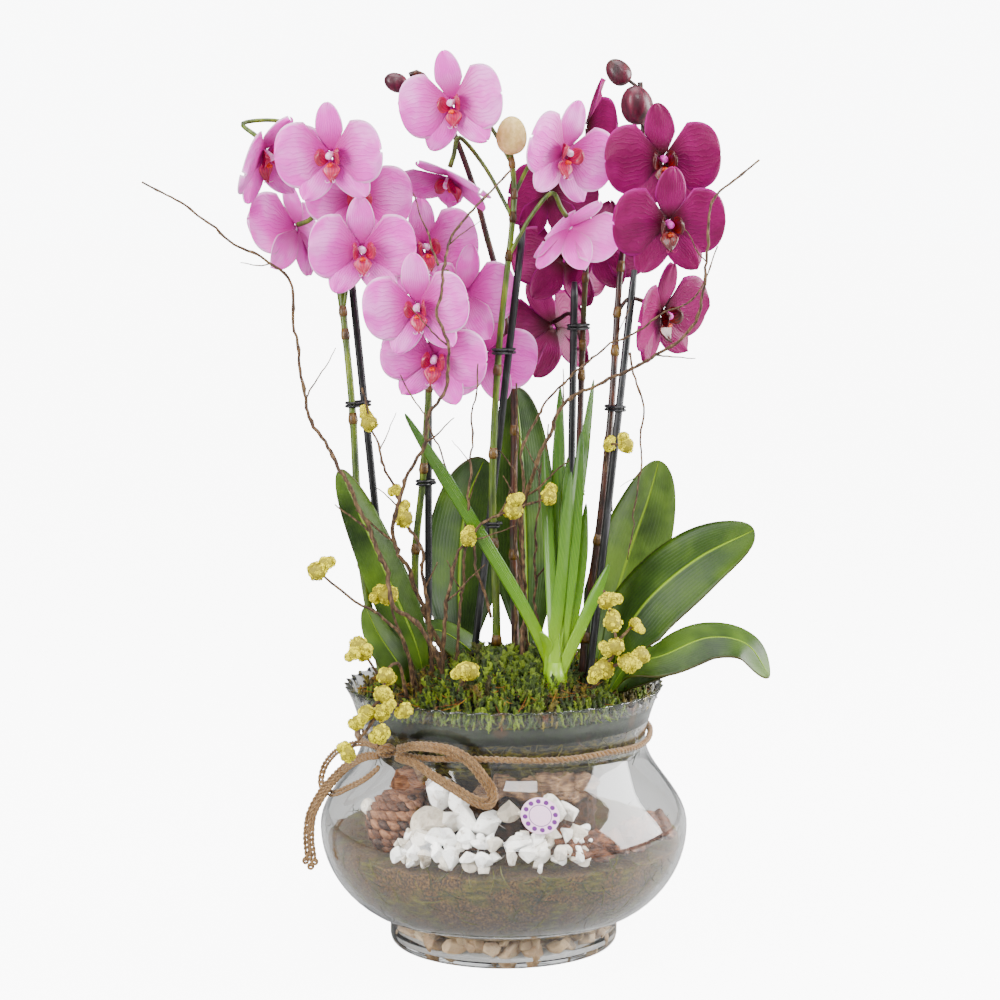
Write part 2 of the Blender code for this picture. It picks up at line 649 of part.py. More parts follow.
# foot (x, y), route above the moss as (x, y, height above the rim), flowers with the share of the
# route where each stalk leaves, buds as (share of the route, place, length)
STEMS = {
    "left_stem": {
        "finish": "green_stem",
        "foot": (-0.096, -0.022),
        "route": [
            (-0.112, -0.028, 0.102),
            (-0.119, -0.026, 0.225),
            (-0.129, -0.014, 0.336),
            (-0.126, 0.004, 0.385),
            (-0.126, 0.008, 0.412),
            (-0.140, 0.010, 0.434),
            (-0.166, 0.002, 0.441),
        ],
        "flowers": {
            "left_flower_1": 0.86,
            "left_flower_2": 0.74,
            "left_flower_3": 0.64,
            "left_flower_4": 0.98,
            "left_flower_5": 0.60,
        },
        "buds": [],
    },
    "middle_stem": {
        "finish": "green_stem",
        "foot": (-0.070, 0.010),
        "route": [
            (-0.071, 0.006, 0.098),
            (-0.065, 0.004, 0.160),
            (-0.058, -0.004, 0.246),
            (-0.048, -0.010, 0.290),
            (-0.045, -0.014, 0.330),
        ],
        "flowers": {
            "middle_flower_1": 0.92,
            "middle_flower_2": 0.72,
            "middle_flower_3": 0.96,
            "middle_flower_4": 0.78,
        },
        "buds": [],
    },
    "centre_stem": {
        "finish": "green_stem",
        "foot": (-0.006, -0.006),
        "route": [
            (-0.006, -0.010, 0.063),
            (-0.009, -0.010, 0.160),
            (-0.004, -0.014, 0.266),
            (0.006, -0.016, 0.360),
            (0.008, -0.016, 0.392),
            (0.005, -0.016, 0.424),
        ],
        "flowers": {
            "centre_flower_1": 0.97,
            "centre_flower_2": 0.88,
            "centre_flower_3": 0.92,
            "centre_flower_4": 0.80,
        },
        "buds": [(0.99, (0.006, -0.018, 0.434), 0.030)],
    },
    "back_stem": {
        "finish": "dark_stem",
        "foot": (0.010, 0.052),
        "route": [
            (0.008, 0.052, 0.120),
            (0.008, 0.052, 0.235),
            (-0.004, 0.048, 0.316),
            (-0.014, 0.044, 0.356),
            (-0.026, 0.036, 0.400),
            (-0.046, 0.026, 0.452),
            (-0.064, 0.016, 0.482),
            (-0.074, 0.012, 0.482),
        ],
        "flowers": {},
        "buds": [
            (0.93, (-0.069, 0.004, 0.470), 0.018),
            (0.97, (-0.085, 0.012, 0.476), 0.018),
            (0.99, (-0.080, 0.014, 0.458), 0.012),
        ],
    },
    "right_inner_stem": {
        "finish": "dark_stem",
        "foot": (0.056, 0.022),
        "route": [
            (0.059, 0.021, 0.110),
            (0.061, 0.020, 0.200),
            (0.064, 0.018, 0.300),
            (0.066, 0.016, 0.340),
        ],
        "flowers": {"right_flower_4": 0.80, "right_flower_5": 0.95},
        "buds": [],
    },
    "right_outer_stem": {
        "finish": "dark_stem",
        "foot": (0.062, -0.030),
        "route": [
            (0.066, -0.030, 0.060),
            (0.076, -0.026, 0.133),
            (0.085, -0.018, 0.227),
            (0.092, -0.008, 0.333),
            (0.104, 0.010, 0.390),
            (0.110, 0.012, 0.440),
            (0.107, 0.008, 0.476),
        ],
        "flowers": {"right_flower_1": 0.90, "right_flower_2": 0.80, "right_flower_3": 0.62},
        "buds": [
            (0.97, (0.104, -0.002, 0.458), 0.030),
            (0.99, (0.090, 0.010, 0.486), 0.022),
        ],
    },
}

# stake beside each stem: foot (x, y) and top (x, y, height above the rim)
STAKES = {
    "left_stake": ((-0.088, -0.014), (-0.121, -0.010, 0.336)),
    "middle_stake": ((-0.061, 0.014), (-0.060, 0.010, 0.246)),
    "centre_stake": ((-0.026, 0.010), (0.015, -0.012, 0.362)),
    "right_inner_stake": ((0.052, 0.012), (0.056, 0.006, 0.320)),
    "right_outer_stake": ((0.066, -0.046), (0.102, -0.020, 0.330)),
}

# clip name: (stem, stake, height above the rim)
CLIPS = {
    "left_clip": ("left_stem", "left_stake", 0.225),
    "centre_clip": ("centre_stem", "centre_stake", 0.266),
    "right_clip": ("right_outer_stem", "right_outer_stake", 0.222),
}


def rooted(foot, route, per_span):
    """A smooth run of points from a foot's socket, up out of the moss, through a route's places."""
    low, surface = foot
    return [low, *smooth_route([surface, *(grown(*p) for p in route)], per_span)]


def stem_route(name):
    plan = STEMS[name]
    return rooted(foot_of(name, *plan["foot"], STEM_RADIUS), plan["route"], per_span=2)


def stalk(start, end, away):
    """A curved flower stalk from the stem to a point, arriving along the flower's back."""
    reach = (end - start).length
    knee = end + away * min(0.35 * reach, 0.02)
    return smooth_route([start, start.lerp(knee, 0.55) + Vector((0, 0, 0.04 * reach)), knee, end], per_span=2)


def make_stems(routes):
    for name, plan in STEMS.items():
        route = routes[name]
        radii = tapered(route, STEM_RADIUS, STEM_RADIUS * 0.62)
        radii[:2] = [STEM_RADIUS, STEM_RADIUS]
        branches = []
        for flower, share in plan["flowers"].items():
            start = route[round(share * (len(route) - 1))]
            end, away = hub_of(flower)
            branches.append(tube(stalk(start, end, away), PEDICEL_RADIUS, sides=6))
        for share, place, length in plan["buds"]:
            start = route[round(share * (len(route) - 1))]
            centre = grown(*place)
            size = (0.36 * length, 0.36 * length, 0.5 * length)
            branches.append(tube([start, centre], PEDICEL_RADIUS * 0.8, sides=6))
            branches.append(ball(centre, size, detail=1))
        combine(name, plan["finish"], tube(route, radii), branches)


def stake_line(name):
    foot, top = STAKES[name]
    low, surface = foot_of(name, *foot, STAKE_RADIUS)
    return [low, surface, grown(*top)]


def make_stakes(lines):
    for name, line in lines.items():
        add_object(name, tube(line, STAKE_RADIUS), "stake")


def point_at_height(route, z):
    """Where a rising route passes a height."""
    for low, high in zip(route, route[1:]):
        if low.z <= z <= high.z:
            return low.lerp(high, (z - low.z) / (high.z - low.z))
    return route[-1]


def stadium(a, b, radius, z, steps=8):
    """The outline, at one height, of a band round two upright rods at a and b."""
    along = Vector((b.x - a.x, b.y - a.y, 0)).normalized()
    side = Vector((-along.y, along.x, 0))
    corners = []
    for centre, start in ((b, -0.5), (a, 0.5)):
        for k in range(steps + 1):
            turn = math.pi * (start + k / steps)
            corners.append(
                Vector((centre.x, centre.y, z)) + radius * (along * math.cos(turn) + side * math.sin(turn))
            )
    return corners


def make_clips(routes, lines):
    for name, (stem, stake, height) in CLIPS.items():
        z = grown(0, 0, height).z
        a = point_at_height(routes[stem], z)
        b = point_at_height(lines[stake], z)
        bore = max(STEM_RADIUS, STAKE_RADIUS) + 2 * GAP
        half = CLIP_HEIGHT / 2
        band = [
            stadium(a, b, bore + CLIP_BAND, z - half),
            stadium(a, b, bore + CLIP_BAND, z + half),
            stadium(a, b, bore, z + half),
            stadium(a, b, bore, z - half),
        ]
        bm = bmesh.new()
        rows = [[bm.verts.new(p) for p in ring] for ring in band]
        for row, following in zip(rows, [*rows[1:], rows[0]]):
            for i in range(len(row)):
                j = (i + 1) % len(row)
                bm.faces.new((row[i], row[j], following[j], following[i]))
        add_object(name, bm, "stake")


# ---- orchid leaves -------------------------------------------------------------------------------

# foot (x, y), route above the moss, width, the way the upper side faces, and how far the halves fold up
LEAVES = {
    "right_upright_leaf": {
        "foot": (0.074, 0.004),
        "route": [
            (0.079, 0.004, 0.030),
            (0.099, 0.009, 0.097),
            (0.116, 0.016, 0.145),
            (0.125, 0.022, 0.176),
        ],
        "width": 0.060,
        "faces": (-0.35, -0.80, 0.25),
        "fold": 18,
    },
    "right_broad_leaf": {
        "foot": (0.086, -0.018),
        "route": [
            (0.092, -0.020, 0.032),
            (0.113, -0.027, 0.069),
            (0.152, -0.034, 0.104),
            (0.196, -0.042, 0.128),
        ],
        "width": 0.062,
        "faces": (-0.45, -0.75, 0.50),
        "fold": 8,
    },
    "right_drooping_leaf": {
        "foot": (0.082, -0.053),
        "route": [
            (0.096, -0.066, 0.024),
            (0.124, -0.075, 0.035),
            (0.158, -0.072, 0.048),
            (0.188, -0.072, 0.043),
            (0.206, -0.072, 0.018),
        ],
        "width": 0.040,
        "faces": (0.10, -0.50, 0.85),
        "fold": 12,
    },
    "back_upright_leaf": {
        "foot": (0.022, 0.066),
        "route": [
            (0.020, 0.070, 0.040),
            (0.018, 0.072, 0.120),
            (0.014, 0.070, 0.190),
            (0.010, 0.062, 0.232),
        ],
        "width": 0.056,
        "faces": (0.25, -0.95, 0.10),
        "fold": 14,
    },
    "centre_arching_leaf": {
        "foot": (-0.032, 0.042),
        "route": [
            (-0.036, 0.044, 0.036),
            (-0.036, 0.048, 0.090),
            (-0.030, 0.048, 0.140),
            (-0.016, 0.040, 0.176),
        ],
        "width": 0.058,
        "faces": (-0.20, -0.95, 0.15),
        "fold": 12,
    },
    "left_long_leaf": {
        "foot": (-0.062, -0.020),
        "route": [
            (-0.070, -0.024, 0.036),
            (-0.090, -0.032, 0.086),
            (-0.108, -0.040, 0.130),
            (-0.128, -0.046, 0.176),
        ],
        "width": 0.034,
        "faces": (0.30, -0.85, 0.30),
        "fold": 16,
    },
}
LEAF_FOOT_RADIUS = 0.0048
LEAF_STEPS = 12


def leaf_width(share):
    """The width along a leaf as a share of its widest: a narrow neck, a long belly and a round tip."""
    belly = math.sin(math.pi * min(1.0, share) ** 0.72) ** 0.55 if share < 1 else 0.0
    return max(0.16, min(1.0, belly)) if share < 0.5 else max(0.10, belly)


def leaf_solid(route, width, faces, fold):
    """A thin leaf with a midrib valley, from its foot to its tip."""
    tangents = directions(route)
    upward = Vector(faces).normalized()
    lengths = [0.0]
    for a, b in zip(route, route[1:]):
        lengths.append(lengths[-1] + (b - a).length)
    neck = lengths[2]
    rings = []
    for point, tangent, run in zip(route, tangents, lengths):
        normal = (upward - tangent * upward.dot(tangent)).normalized()
        side = tangent.cross(normal)
        share = max(0.0, (run - neck) / (lengths[-1] - neck))
        half = max(LEAF_FOOT_RADIUS * 0.8, width / 2 * leaf_width(share)) if share else LEAF_FOOT_RADIUS * 0.8
        rise = normal * math.tan(math.radians(fold)) * half * min(1.0, share * 4)
        thick = normal * LEAF_THICKNESS / 2
        rings.append(
            [
                point - side * half + rise - thick * 0.6,
                point - thick,
                point + side * half + rise - thick * 0.6,
                point + side * half + rise + thick * 0.6,
                point + thick,
                point - side * half + rise + thick * 0.6,
            ]
        )
    return loft(rings)


def make_leaves(feet):
    for name, leaf in LEAVES.items():
        route = rooted(feet[name], leaf["route"], per_span=3)
        made = leaf_solid(route, leaf["width"] * GROWTH, leaf["faces"], leaf["fold"])
        add_object(name, made, "orchid_leaf")


# ---- bulb leaves ---------------------------------------------------------------------------------

TUFT_FOOT = (0.040, -0.058)
TUFT_RADIUS = 0.0095
BLADE_WIDTH = 0.010
BLADE_THICKNESS = 0.0018
# middle and tip of each blade: (x, y, height above the rim)
BLADES = [
    ((0.042, -0.046, 0.120), (0.044, -0.034, 0.240)),
    ((0.052, -0.050, 0.110), (0.070, -0.040, 0.246)),
    ((0.036, -0.050, 0.100), (0.031, -0.040, 0.196)),
    ((0.052, -0.058, 0.100), (0.060, -0.054, 0.206)),
    ((0.044, -0.060, 0.080), (0.052, -0.062, 0.176)),
    ((0.062, -0.062, 0.060), (0.082, -0.058, 0.104)),
    ((0.012, -0.058, 0.076), (-0.076, -0.070, 0.222)),
]


def make_bulb_leaves(foot):
    low, surface = foot
    crown = surface + Vector((0, 0, 0.012))
    neck = tube([low, surface, crown], [TUFT_RADIUS, TUFT_RADIUS, TUFT_RADIUS * 0.75], sides=10)
    blades = []
    for index, (middle, tip) in enumerate(BLADES):
        lean = Vector((math.cos(index * 2.4), math.sin(index * 2.4), 0)) * TUFT_RADIUS * 0.45
        start = surface + 0.5 * lean
        route = smooth_route([start, crown + lean * 1.2, grown(*middle), grown(*tip)], per_span=3)
        rings = []
        for share, (point, tangent) in enumerate(zip(route, directions(route))):
            side = tangent.cross(Vector((0.15, 1, 0.1))).normalized()
            thick = tangent.cross(side).normalized() * BLADE_THICKNESS / 2
            half = side * BLADE_WIDTH / 2 * (1 - 0.75 * (share / (len(route) - 1)) ** 3)
            rings.append([point - half, point - thick, point + half, point + thick])
        blades.append(loft(rings))
    combine("bulb_leaves", "bulb_leaf", neck, blades)


# ---- twigs and flowering sprigs ------------------------------------------------------------------

TWIGS = {
    "left_twig": {
        "foot": (-0.044, -0.044),
        "route": [
            (-0.056, -0.060, 0.040),
            (-0.086, -0.066, 0.078),
            (-0.098, -0.062, 0.118),
            (-0.126, -0.060, 0.176),
            (-0.152, -0.056, 0.226),
            (-0.160, -0.052, 0.276),
            (-0.168, -0.050, 0.326),
            (-0.210, -0.048, 0.354),
            (-0.252, -0.046, 0.384),
            (-0.278, -0.046, 0.398),
        ],
    },
    "centre_twig": {
        "foot": (-0.036, -0.020),
        "route": [
            (-0.056, -0.036, 0.048),
            (-0.074, -0.052, 0.096),
            (-0.086, -0.066, 0.136),
            (-0.060, -0.086, 0.206),
            (-0.042, -0.096, 0.262),
            (-0.048, -0.098, 0.306),
            (-0.040, -0.094, 0.356),
            (-0.016, -0.080, 0.384),
            (0.006, -0.060, 0.408),
        ],
    },
    "right_twig": {
        "foot": (0.014, -0.034),
        "route": [
            (0.016, -0.036, 0.078),
            (0.014, -0.040, 0.138),
            (0.034, -0.076, 0.206),
            (0.052, -0.086, 0.236),
            (0.104, -0.094, 0.262),
            (0.142, -0.108, 0.292),
            (0.150, -0.116, 0.338),
            (0.156, -0.112, 0.384),
            (0.190, -0.104, 0.414),
        ],
    },
}
# heads: (place of each flower head, radius), joined by the sprig's own twig
SPRIGS = {
    "left_sprig": {
        "foot": (-0.084, -0.056),
        "route": [
            (-0.096, -0.068, 0.032),
            (-0.112, -0.080, 0.058),
            (-0.130, -0.088, 0.068),
            (-0.146, -0.092, 0.074),
        ],
        "heads": [((-0.150, -0.092, 0.078), 0.010), ((-0.098, -0.062, 0.060), 0.010)],
    },
    "hanging_sprig": {
        "foot": (-0.074, -0.072),
        "route": [
            (-0.082, -0.084, 0.030),
            (-0.092, -0.106, 0.022),
            (-0.094, -0.116, 0.002),
            (-0.094, -0.118, -0.018),
        ],
        "heads": [
            ((-0.090, -0.100, 0.024), 0.009),
            ((-0.094, -0.118, -0.002), 0.009),
            ((-0.094, -0.122, -0.018), 0.009),
        ],
    },
    "right_sprig": {
        "foot": (0.066, -0.072),
        "route": [(0.078, -0.086, 0.028), (0.086, -0.091, 0.048), (0.084, -0.092, 0.070)],
        "heads": [
            ((0.084, -0.093, 0.024), 0.011),
            ((0.089, -0.093, 0.048), 0.008),
            ((0.084, -0.093, 0.073), 0.009),
        ],
    },
}


def make_twigs(feet):
    for name, twig in TWIGS.items():
        route = rooted(feet[name], twig["route"], per_span=2)
        radii = tapered(route, TWIG_RADIUS, TWIG_RADIUS * 0.42)
        radii[:2] = [TWIG_RADIUS, TWIG_RADIUS]
        add_object(name, tube(route, radii, sides=6), "twig")


def make_sprigs(feet):
    for name, sprig in SPRIGS.items():
        route = rooted(feet[name], sprig["route"], per_span=2)
        radius = TWIG_RADIUS * 0.8
        heads = []
        for place, size in sprig["heads"]:
            centre = grown(*place)
            nearest = min(route, key=lambda p: (p - centre).length)
            if (nearest - centre).length > size * 0.6:
                heads.append(tube([nearest, centre], radius * 0.7, sides=6))
            heads.append(ball(centre, (size, size, size * 0.9)))
        combine(name, "sprig", tube(route, radius, sides=6), heads)


# ---- assembly ------------------------------------------------------------------------------------


def main():
    clear_scene()
    stem_routes = {name: stem_route(name) for name in STEMS}
    stake_lines = {name: stake_line(name) for name in STAKES}
    leaf_feet = {name: foot_of(name, *leaf["foot"], LEAF_FOOT_RADIUS) for name, leaf in LEAVES.items()}
    twig_feet = {name: foot_of(name, *twig["foot"], TWIG_RADIUS) for name, twig in TWIGS.items()}
    sprig_feet = {name: foot_of(name, *sprig["foot"], TWIG_RADIUS * 0.8) for name, sprig in SPRIGS.items()}
    tuft_foot = foot_of("bulb_leaves", *TUFT_FOOT, TUFT_RADIUS)

    make_bowl()
    make_filling()
    make_ornaments()
    make_tag()
    make_twine()
    make_flowers()
    make_stems(stem_routes)
    make_stakes(stake_lines)
    make_clips(stem_routes, stake_lines)
    make_leaves(leaf_feet)
    make_bulb_leaves(tuft_foot)
    make_twigs(twig_feet)
    make_sprigs(sprig_feet)


main()
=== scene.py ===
import json
import math
import random

import bmesh
import bpy
from mathutils import Matrix, Vector, noise
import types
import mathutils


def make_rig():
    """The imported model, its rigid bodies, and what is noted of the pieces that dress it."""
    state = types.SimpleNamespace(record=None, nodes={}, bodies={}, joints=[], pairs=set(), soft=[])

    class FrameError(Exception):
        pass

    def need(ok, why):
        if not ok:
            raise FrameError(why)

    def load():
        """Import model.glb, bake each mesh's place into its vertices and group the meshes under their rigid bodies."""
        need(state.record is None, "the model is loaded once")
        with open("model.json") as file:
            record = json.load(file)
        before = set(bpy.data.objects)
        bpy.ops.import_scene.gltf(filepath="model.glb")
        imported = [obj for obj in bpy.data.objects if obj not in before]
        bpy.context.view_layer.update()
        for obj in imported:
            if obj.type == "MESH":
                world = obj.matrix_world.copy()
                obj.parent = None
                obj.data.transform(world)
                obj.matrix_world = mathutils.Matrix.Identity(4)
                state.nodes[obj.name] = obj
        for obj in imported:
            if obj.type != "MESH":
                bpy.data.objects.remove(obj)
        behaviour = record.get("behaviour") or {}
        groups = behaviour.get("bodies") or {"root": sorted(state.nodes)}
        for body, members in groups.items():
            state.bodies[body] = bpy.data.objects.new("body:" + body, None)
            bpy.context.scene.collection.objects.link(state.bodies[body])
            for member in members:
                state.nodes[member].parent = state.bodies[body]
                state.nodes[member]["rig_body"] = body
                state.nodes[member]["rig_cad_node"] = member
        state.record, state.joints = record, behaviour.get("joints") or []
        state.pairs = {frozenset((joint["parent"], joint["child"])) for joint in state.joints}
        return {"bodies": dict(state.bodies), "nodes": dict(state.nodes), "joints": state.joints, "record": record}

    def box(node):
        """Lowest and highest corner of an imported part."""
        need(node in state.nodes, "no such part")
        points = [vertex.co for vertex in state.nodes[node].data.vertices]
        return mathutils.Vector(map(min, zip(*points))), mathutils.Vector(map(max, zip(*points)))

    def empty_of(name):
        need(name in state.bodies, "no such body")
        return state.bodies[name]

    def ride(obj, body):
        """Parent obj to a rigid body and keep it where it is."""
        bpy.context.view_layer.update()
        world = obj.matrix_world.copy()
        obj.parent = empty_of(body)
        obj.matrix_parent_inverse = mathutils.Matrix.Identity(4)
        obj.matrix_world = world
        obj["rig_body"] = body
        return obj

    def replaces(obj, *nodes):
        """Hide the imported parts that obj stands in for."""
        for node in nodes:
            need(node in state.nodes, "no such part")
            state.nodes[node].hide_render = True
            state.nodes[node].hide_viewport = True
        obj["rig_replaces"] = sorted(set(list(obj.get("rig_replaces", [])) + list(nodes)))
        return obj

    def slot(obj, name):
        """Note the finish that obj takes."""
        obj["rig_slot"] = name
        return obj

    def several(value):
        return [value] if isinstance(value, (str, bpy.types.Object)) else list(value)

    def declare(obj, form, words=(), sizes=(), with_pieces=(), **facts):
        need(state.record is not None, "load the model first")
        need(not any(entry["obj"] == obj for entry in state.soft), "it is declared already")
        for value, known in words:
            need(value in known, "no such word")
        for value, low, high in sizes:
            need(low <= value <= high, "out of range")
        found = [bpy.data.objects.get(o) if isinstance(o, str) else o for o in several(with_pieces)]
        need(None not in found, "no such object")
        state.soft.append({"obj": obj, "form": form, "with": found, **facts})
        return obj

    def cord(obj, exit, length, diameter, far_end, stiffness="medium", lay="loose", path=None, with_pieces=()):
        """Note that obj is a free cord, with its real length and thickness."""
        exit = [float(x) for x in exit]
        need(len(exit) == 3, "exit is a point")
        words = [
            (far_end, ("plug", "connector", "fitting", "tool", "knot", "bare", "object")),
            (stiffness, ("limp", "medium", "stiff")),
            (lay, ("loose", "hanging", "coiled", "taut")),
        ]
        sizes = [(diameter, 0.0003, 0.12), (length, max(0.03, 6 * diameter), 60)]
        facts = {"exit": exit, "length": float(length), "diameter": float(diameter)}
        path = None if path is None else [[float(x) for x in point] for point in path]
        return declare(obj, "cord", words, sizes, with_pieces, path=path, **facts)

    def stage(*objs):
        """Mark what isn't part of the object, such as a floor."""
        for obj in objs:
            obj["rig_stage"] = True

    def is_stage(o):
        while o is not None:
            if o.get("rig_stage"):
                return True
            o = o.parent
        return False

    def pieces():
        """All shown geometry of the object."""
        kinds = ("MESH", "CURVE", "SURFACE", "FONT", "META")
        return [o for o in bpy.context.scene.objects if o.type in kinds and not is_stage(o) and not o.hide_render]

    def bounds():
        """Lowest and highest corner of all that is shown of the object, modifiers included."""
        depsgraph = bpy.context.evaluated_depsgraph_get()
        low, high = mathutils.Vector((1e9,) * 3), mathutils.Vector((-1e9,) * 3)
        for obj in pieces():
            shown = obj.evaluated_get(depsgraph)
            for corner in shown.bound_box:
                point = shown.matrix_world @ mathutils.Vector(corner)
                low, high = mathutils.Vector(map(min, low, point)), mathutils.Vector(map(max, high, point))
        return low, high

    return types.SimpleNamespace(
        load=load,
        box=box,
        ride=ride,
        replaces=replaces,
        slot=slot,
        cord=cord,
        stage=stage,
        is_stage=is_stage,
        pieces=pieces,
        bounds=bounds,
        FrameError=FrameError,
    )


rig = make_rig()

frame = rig.load()
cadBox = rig.bounds()
print("frame loaded")

turnOver = math.tau / 2
up = Vector((0, 0, 1))


# a socket of a material's nodes: arithmetic on it adds Math nodes
class Signal:
    def __init__(self, finish, socket):
        self.finish = finish
        self.socket = socket

    def join(self, operation, first, second):
        return self.finish.node("ShaderNodeMath", {"operation": operation}, {0: first, 1: second})

    def __add__(self, other):
        return self.join("ADD", self, other)

    def __radd__(self, other):
        return self.join("ADD", other, self)

    def __sub__(self, other):
        return self.join("SUBTRACT", self, other)

    def __rsub__(self, other):
        return self.join("SUBTRACT", other, self)

    def __mul__(self, other):
        return self.join("MULTIPLY", self, other)

    def __rmul__(self, other):
        return self.join("MULTIPLY", other, self)

    def __pow__(self, other):
        return self.join("POWER", self, other)


# a material with a Principled shader, and the short calls that build its nodes
class Finish:
    def __init__(self, name, roughness=0.6, **fixed):
        self.material = bpy.data.materials.new(name)
        self.material.use_nodes = True
        self.tree = self.material.node_tree
        self.shader = self.tree.nodes["Principled BSDF"]
        self.surface = self.tree.nodes["Material Output"].inputs["Surface"]
        self.set("Roughness", roughness)
        for socket, value in fixed.items():
            self.set(socket.replace("_", " "), value)

    def feed(self, socket, value):
        if isinstance(value, Signal):
            self.tree.links.new(value.socket, socket)
        elif socket.type == "RGBA" and len(value) == 3:
            socket.default_value = (*value, 1.0)
        else:
            socket.default_value = value

    def set(self, socket, value):
        self.feed(self.shader.inputs[socket], value)

    def node(self, kind, settings=None, inputs=None, output=0):
        made = self.tree.nodes.new(kind)
        for key, value in (settings or {}).items():
            if key == "stops":
                ramp = made.color_ramp.elements
                while len(ramp) < len(value):
                    ramp.new(0.5)
                for stop, (place, colour) in zip(ramp, value):
                    stop.position = place
                    stop.color = (*colour, 1.0)
            else:
                setattr(made, key, value)
        for key, value in (inputs or {}).items():
            self.feed(made.inputs[key], value)
        return Signal(self, made.outputs[output])

    def place(self):
        return self.node("ShaderNodeTexCoord", output="Object")

    def along(self):
        # the piece's own UV map as two numbers: along it and across it
        own = self.node("ShaderNodeUVMap", {"uv_map": "UVMap"})
        parts = self.node("ShaderNodeSeparateXYZ", inputs={0: own})
        return parts, Signal(self, parts.socket.node.outputs[1])

    def tone(self, name="tone"):
        return self.node("ShaderNodeAttribute", {"attribute_name": name}, output="Fac")

    def cloud(self, size, detail=3.0, where=None, stretch=None):
        # noise whose patches are about this many metres across
        where = where or self.place()
        if stretch:
            where = self.node("ShaderNodeMapping", inputs={"Vector": where, "Scale": stretch})
        inputs = {"Vector": where, "Scale": 1.0 / size, "Detail": detail}
        return self.node("ShaderNodeTexNoise", inputs=inputs)

    def cells(self, size, feature="F1", output="Distance"):
        inputs = {"Vector": self.place(), "Scale": 1.0 / size}
        return self.node("ShaderNodeTexVoronoi", {"feature": feature}, inputs, output)

    def fade(self, value, low, high):
        # 0 at low, 1 at high, eased between them
        settings = {"interpolation_type": "SMOOTHSTEP"}
        return self.node("ShaderNodeMapRange", settings, {"Value": value, "From Min": low, "From Max": high})

    def blend(self, first, second, share, kind="MIX"):
        settings = {"data_type": "RGBA", "blend_type": kind}
        return self.node("ShaderNodeMix", settings, {0: share, 6: first, 7: second}, 2)

    def ramp(self, value, *stops):
        return self.node("ShaderNodeValToRGB", {"stops": stops}, {0: value})

    def bump(self, height, depth, strength=1.0):
        # depth is the relief's height in metres
        relief = self.node("ShaderNodeBump", inputs={"Height": height, "Distance": depth, "Strength": strength})
        self.set("Normal", relief)


# the renderer's view pales every colour, so each is made deeper and stronger
deepen, vivid = 1.22, 1.4


def shade(text):
    # a colour written as six hex digits, in the renderer's linear values
    parts = [int(text[i : i + 2], 16) / 255 for i in (0, 2, 4)]
    linear = [p / 12.92 if p <= 0.04045 else ((p + 0.055) / 1.055) ** 2.4 for p in parts]
    grey = sum(linear) / 3
    return tuple(max(0.0, grey + (p - grey) * vivid) ** deepen for p in linear)


# ---- helpers for shapes
def smoothRoute(points, steps):
    # points along a smooth curve through the given ones
    knots = [Vector(p) for p in points]
    knots = [2 * knots[0] - knots[1], *knots, 2 * knots[-1] - knots[-2]]
    route = []
    for a, b, c, d in zip(knots, knots[1:], knots[2:], knots[3:]):
        for step in range(steps):
            t = step / steps
            bend = (2 * a - 5 * b + 4 * c - d) * t**2
            route.append(0.5 * (2 * b + (c - a) * t + bend + (3 * b - a - 3 * c + d) * t**3))
    return [*route, knots[-2]]


def evenRoute(route, step):
    # the same line with its points a fixed distance apart
    spans = [(b - a).length for a, b in zip(route, route[1:])]
    count = max(2, round(sum(spans) / step))
    even = []
    run = 0.0
    index = 0
    for i in range(count + 1):
        target = sum(spans) * i / count
        while index < len(spans) - 1 and run + spans[index] < target:
            run += spans[index]
            index += 1
        even.append(route[index].lerp(route[index + 1], min(1.0, (target - run) / spans[index])))
    return even


def placingsAlong(route, facing=None):
    # a turned frame at each point: its Z runs along the route, without twisting
    side = None
    placings = []
    for before, here, after in zip([route[0], *route[:-1]], route, [*route[1:], route[-1]]):
        ahead = (after - before).normalized()
        if facing is not None:
            across = ahead.cross(facing)
        else:
            across = side if side is not None else ahead.orthogonal()
        across = (across - ahead * across.dot(ahead)).normalized()
        side = across
        third = ahead.cross(across)
        turn = Matrix((across, third, ahead)).transposed().to_4x4()
        placings.append(Matrix.Translation(here) @ turn)
    return placings


def sweep(route, radii, sides=8):
    # a round rod along a route, its ring pushed on from point to point
    if not isinstance(radii, (list, tuple)):
        radii = [radii] * len(route)
    bm = bmesh.new()
    placings = [p @ Matrix.Scale(r, 4) for p, r in zip(placingsAlong(route), radii)]
    ring = bmesh.ops.create_circle(bm, segments=sides, radius=1.0, cap_ends=True, matrix=placings[0])["verts"]
    edges = [e for e in bm.edges if all(v in ring for v in e.verts)]
    for old, new in zip(placings, placings[1:]):
        pushed = bmesh.ops.extrude_edge_only(bm, edges=edges)["geom"]
        ring = [g for g in pushed if isinstance(g, bmesh.types.BMVert)]
        members = set(ring)
        edges = [g for g in pushed if isinstance(g, bmesh.types.BMEdge) and set(g.verts) <= members]
        bmesh.ops.transform(bm, matrix=new @ old.inverted(), verts=ring)
    bmesh.ops.edgenet_fill(bm, edges=edges)
    bmesh.ops.recalc_face_normals(bm, faces=bm.faces)
    return bm


def asMesh(bm, name="template", slot=0):
    mesh = bpy.data.meshes.new(name)
    for face in bm.faces:
        face.material_index = slot
        face.smooth = True
    bm.to_mesh(mesh)
    bm.free()
    return mesh


def join(parts):
    # several bmeshes, or (bmesh, material index) pairs, as one
    bm = bmesh.new()
    for part in parts:
        made, slot = part if isinstance(part, tuple) else (part, 0)
        mesh = asMesh(made, slot=slot)
        bm.from_mesh(mesh)
        bpy.data.meshes.remove(mesh)
    return bm


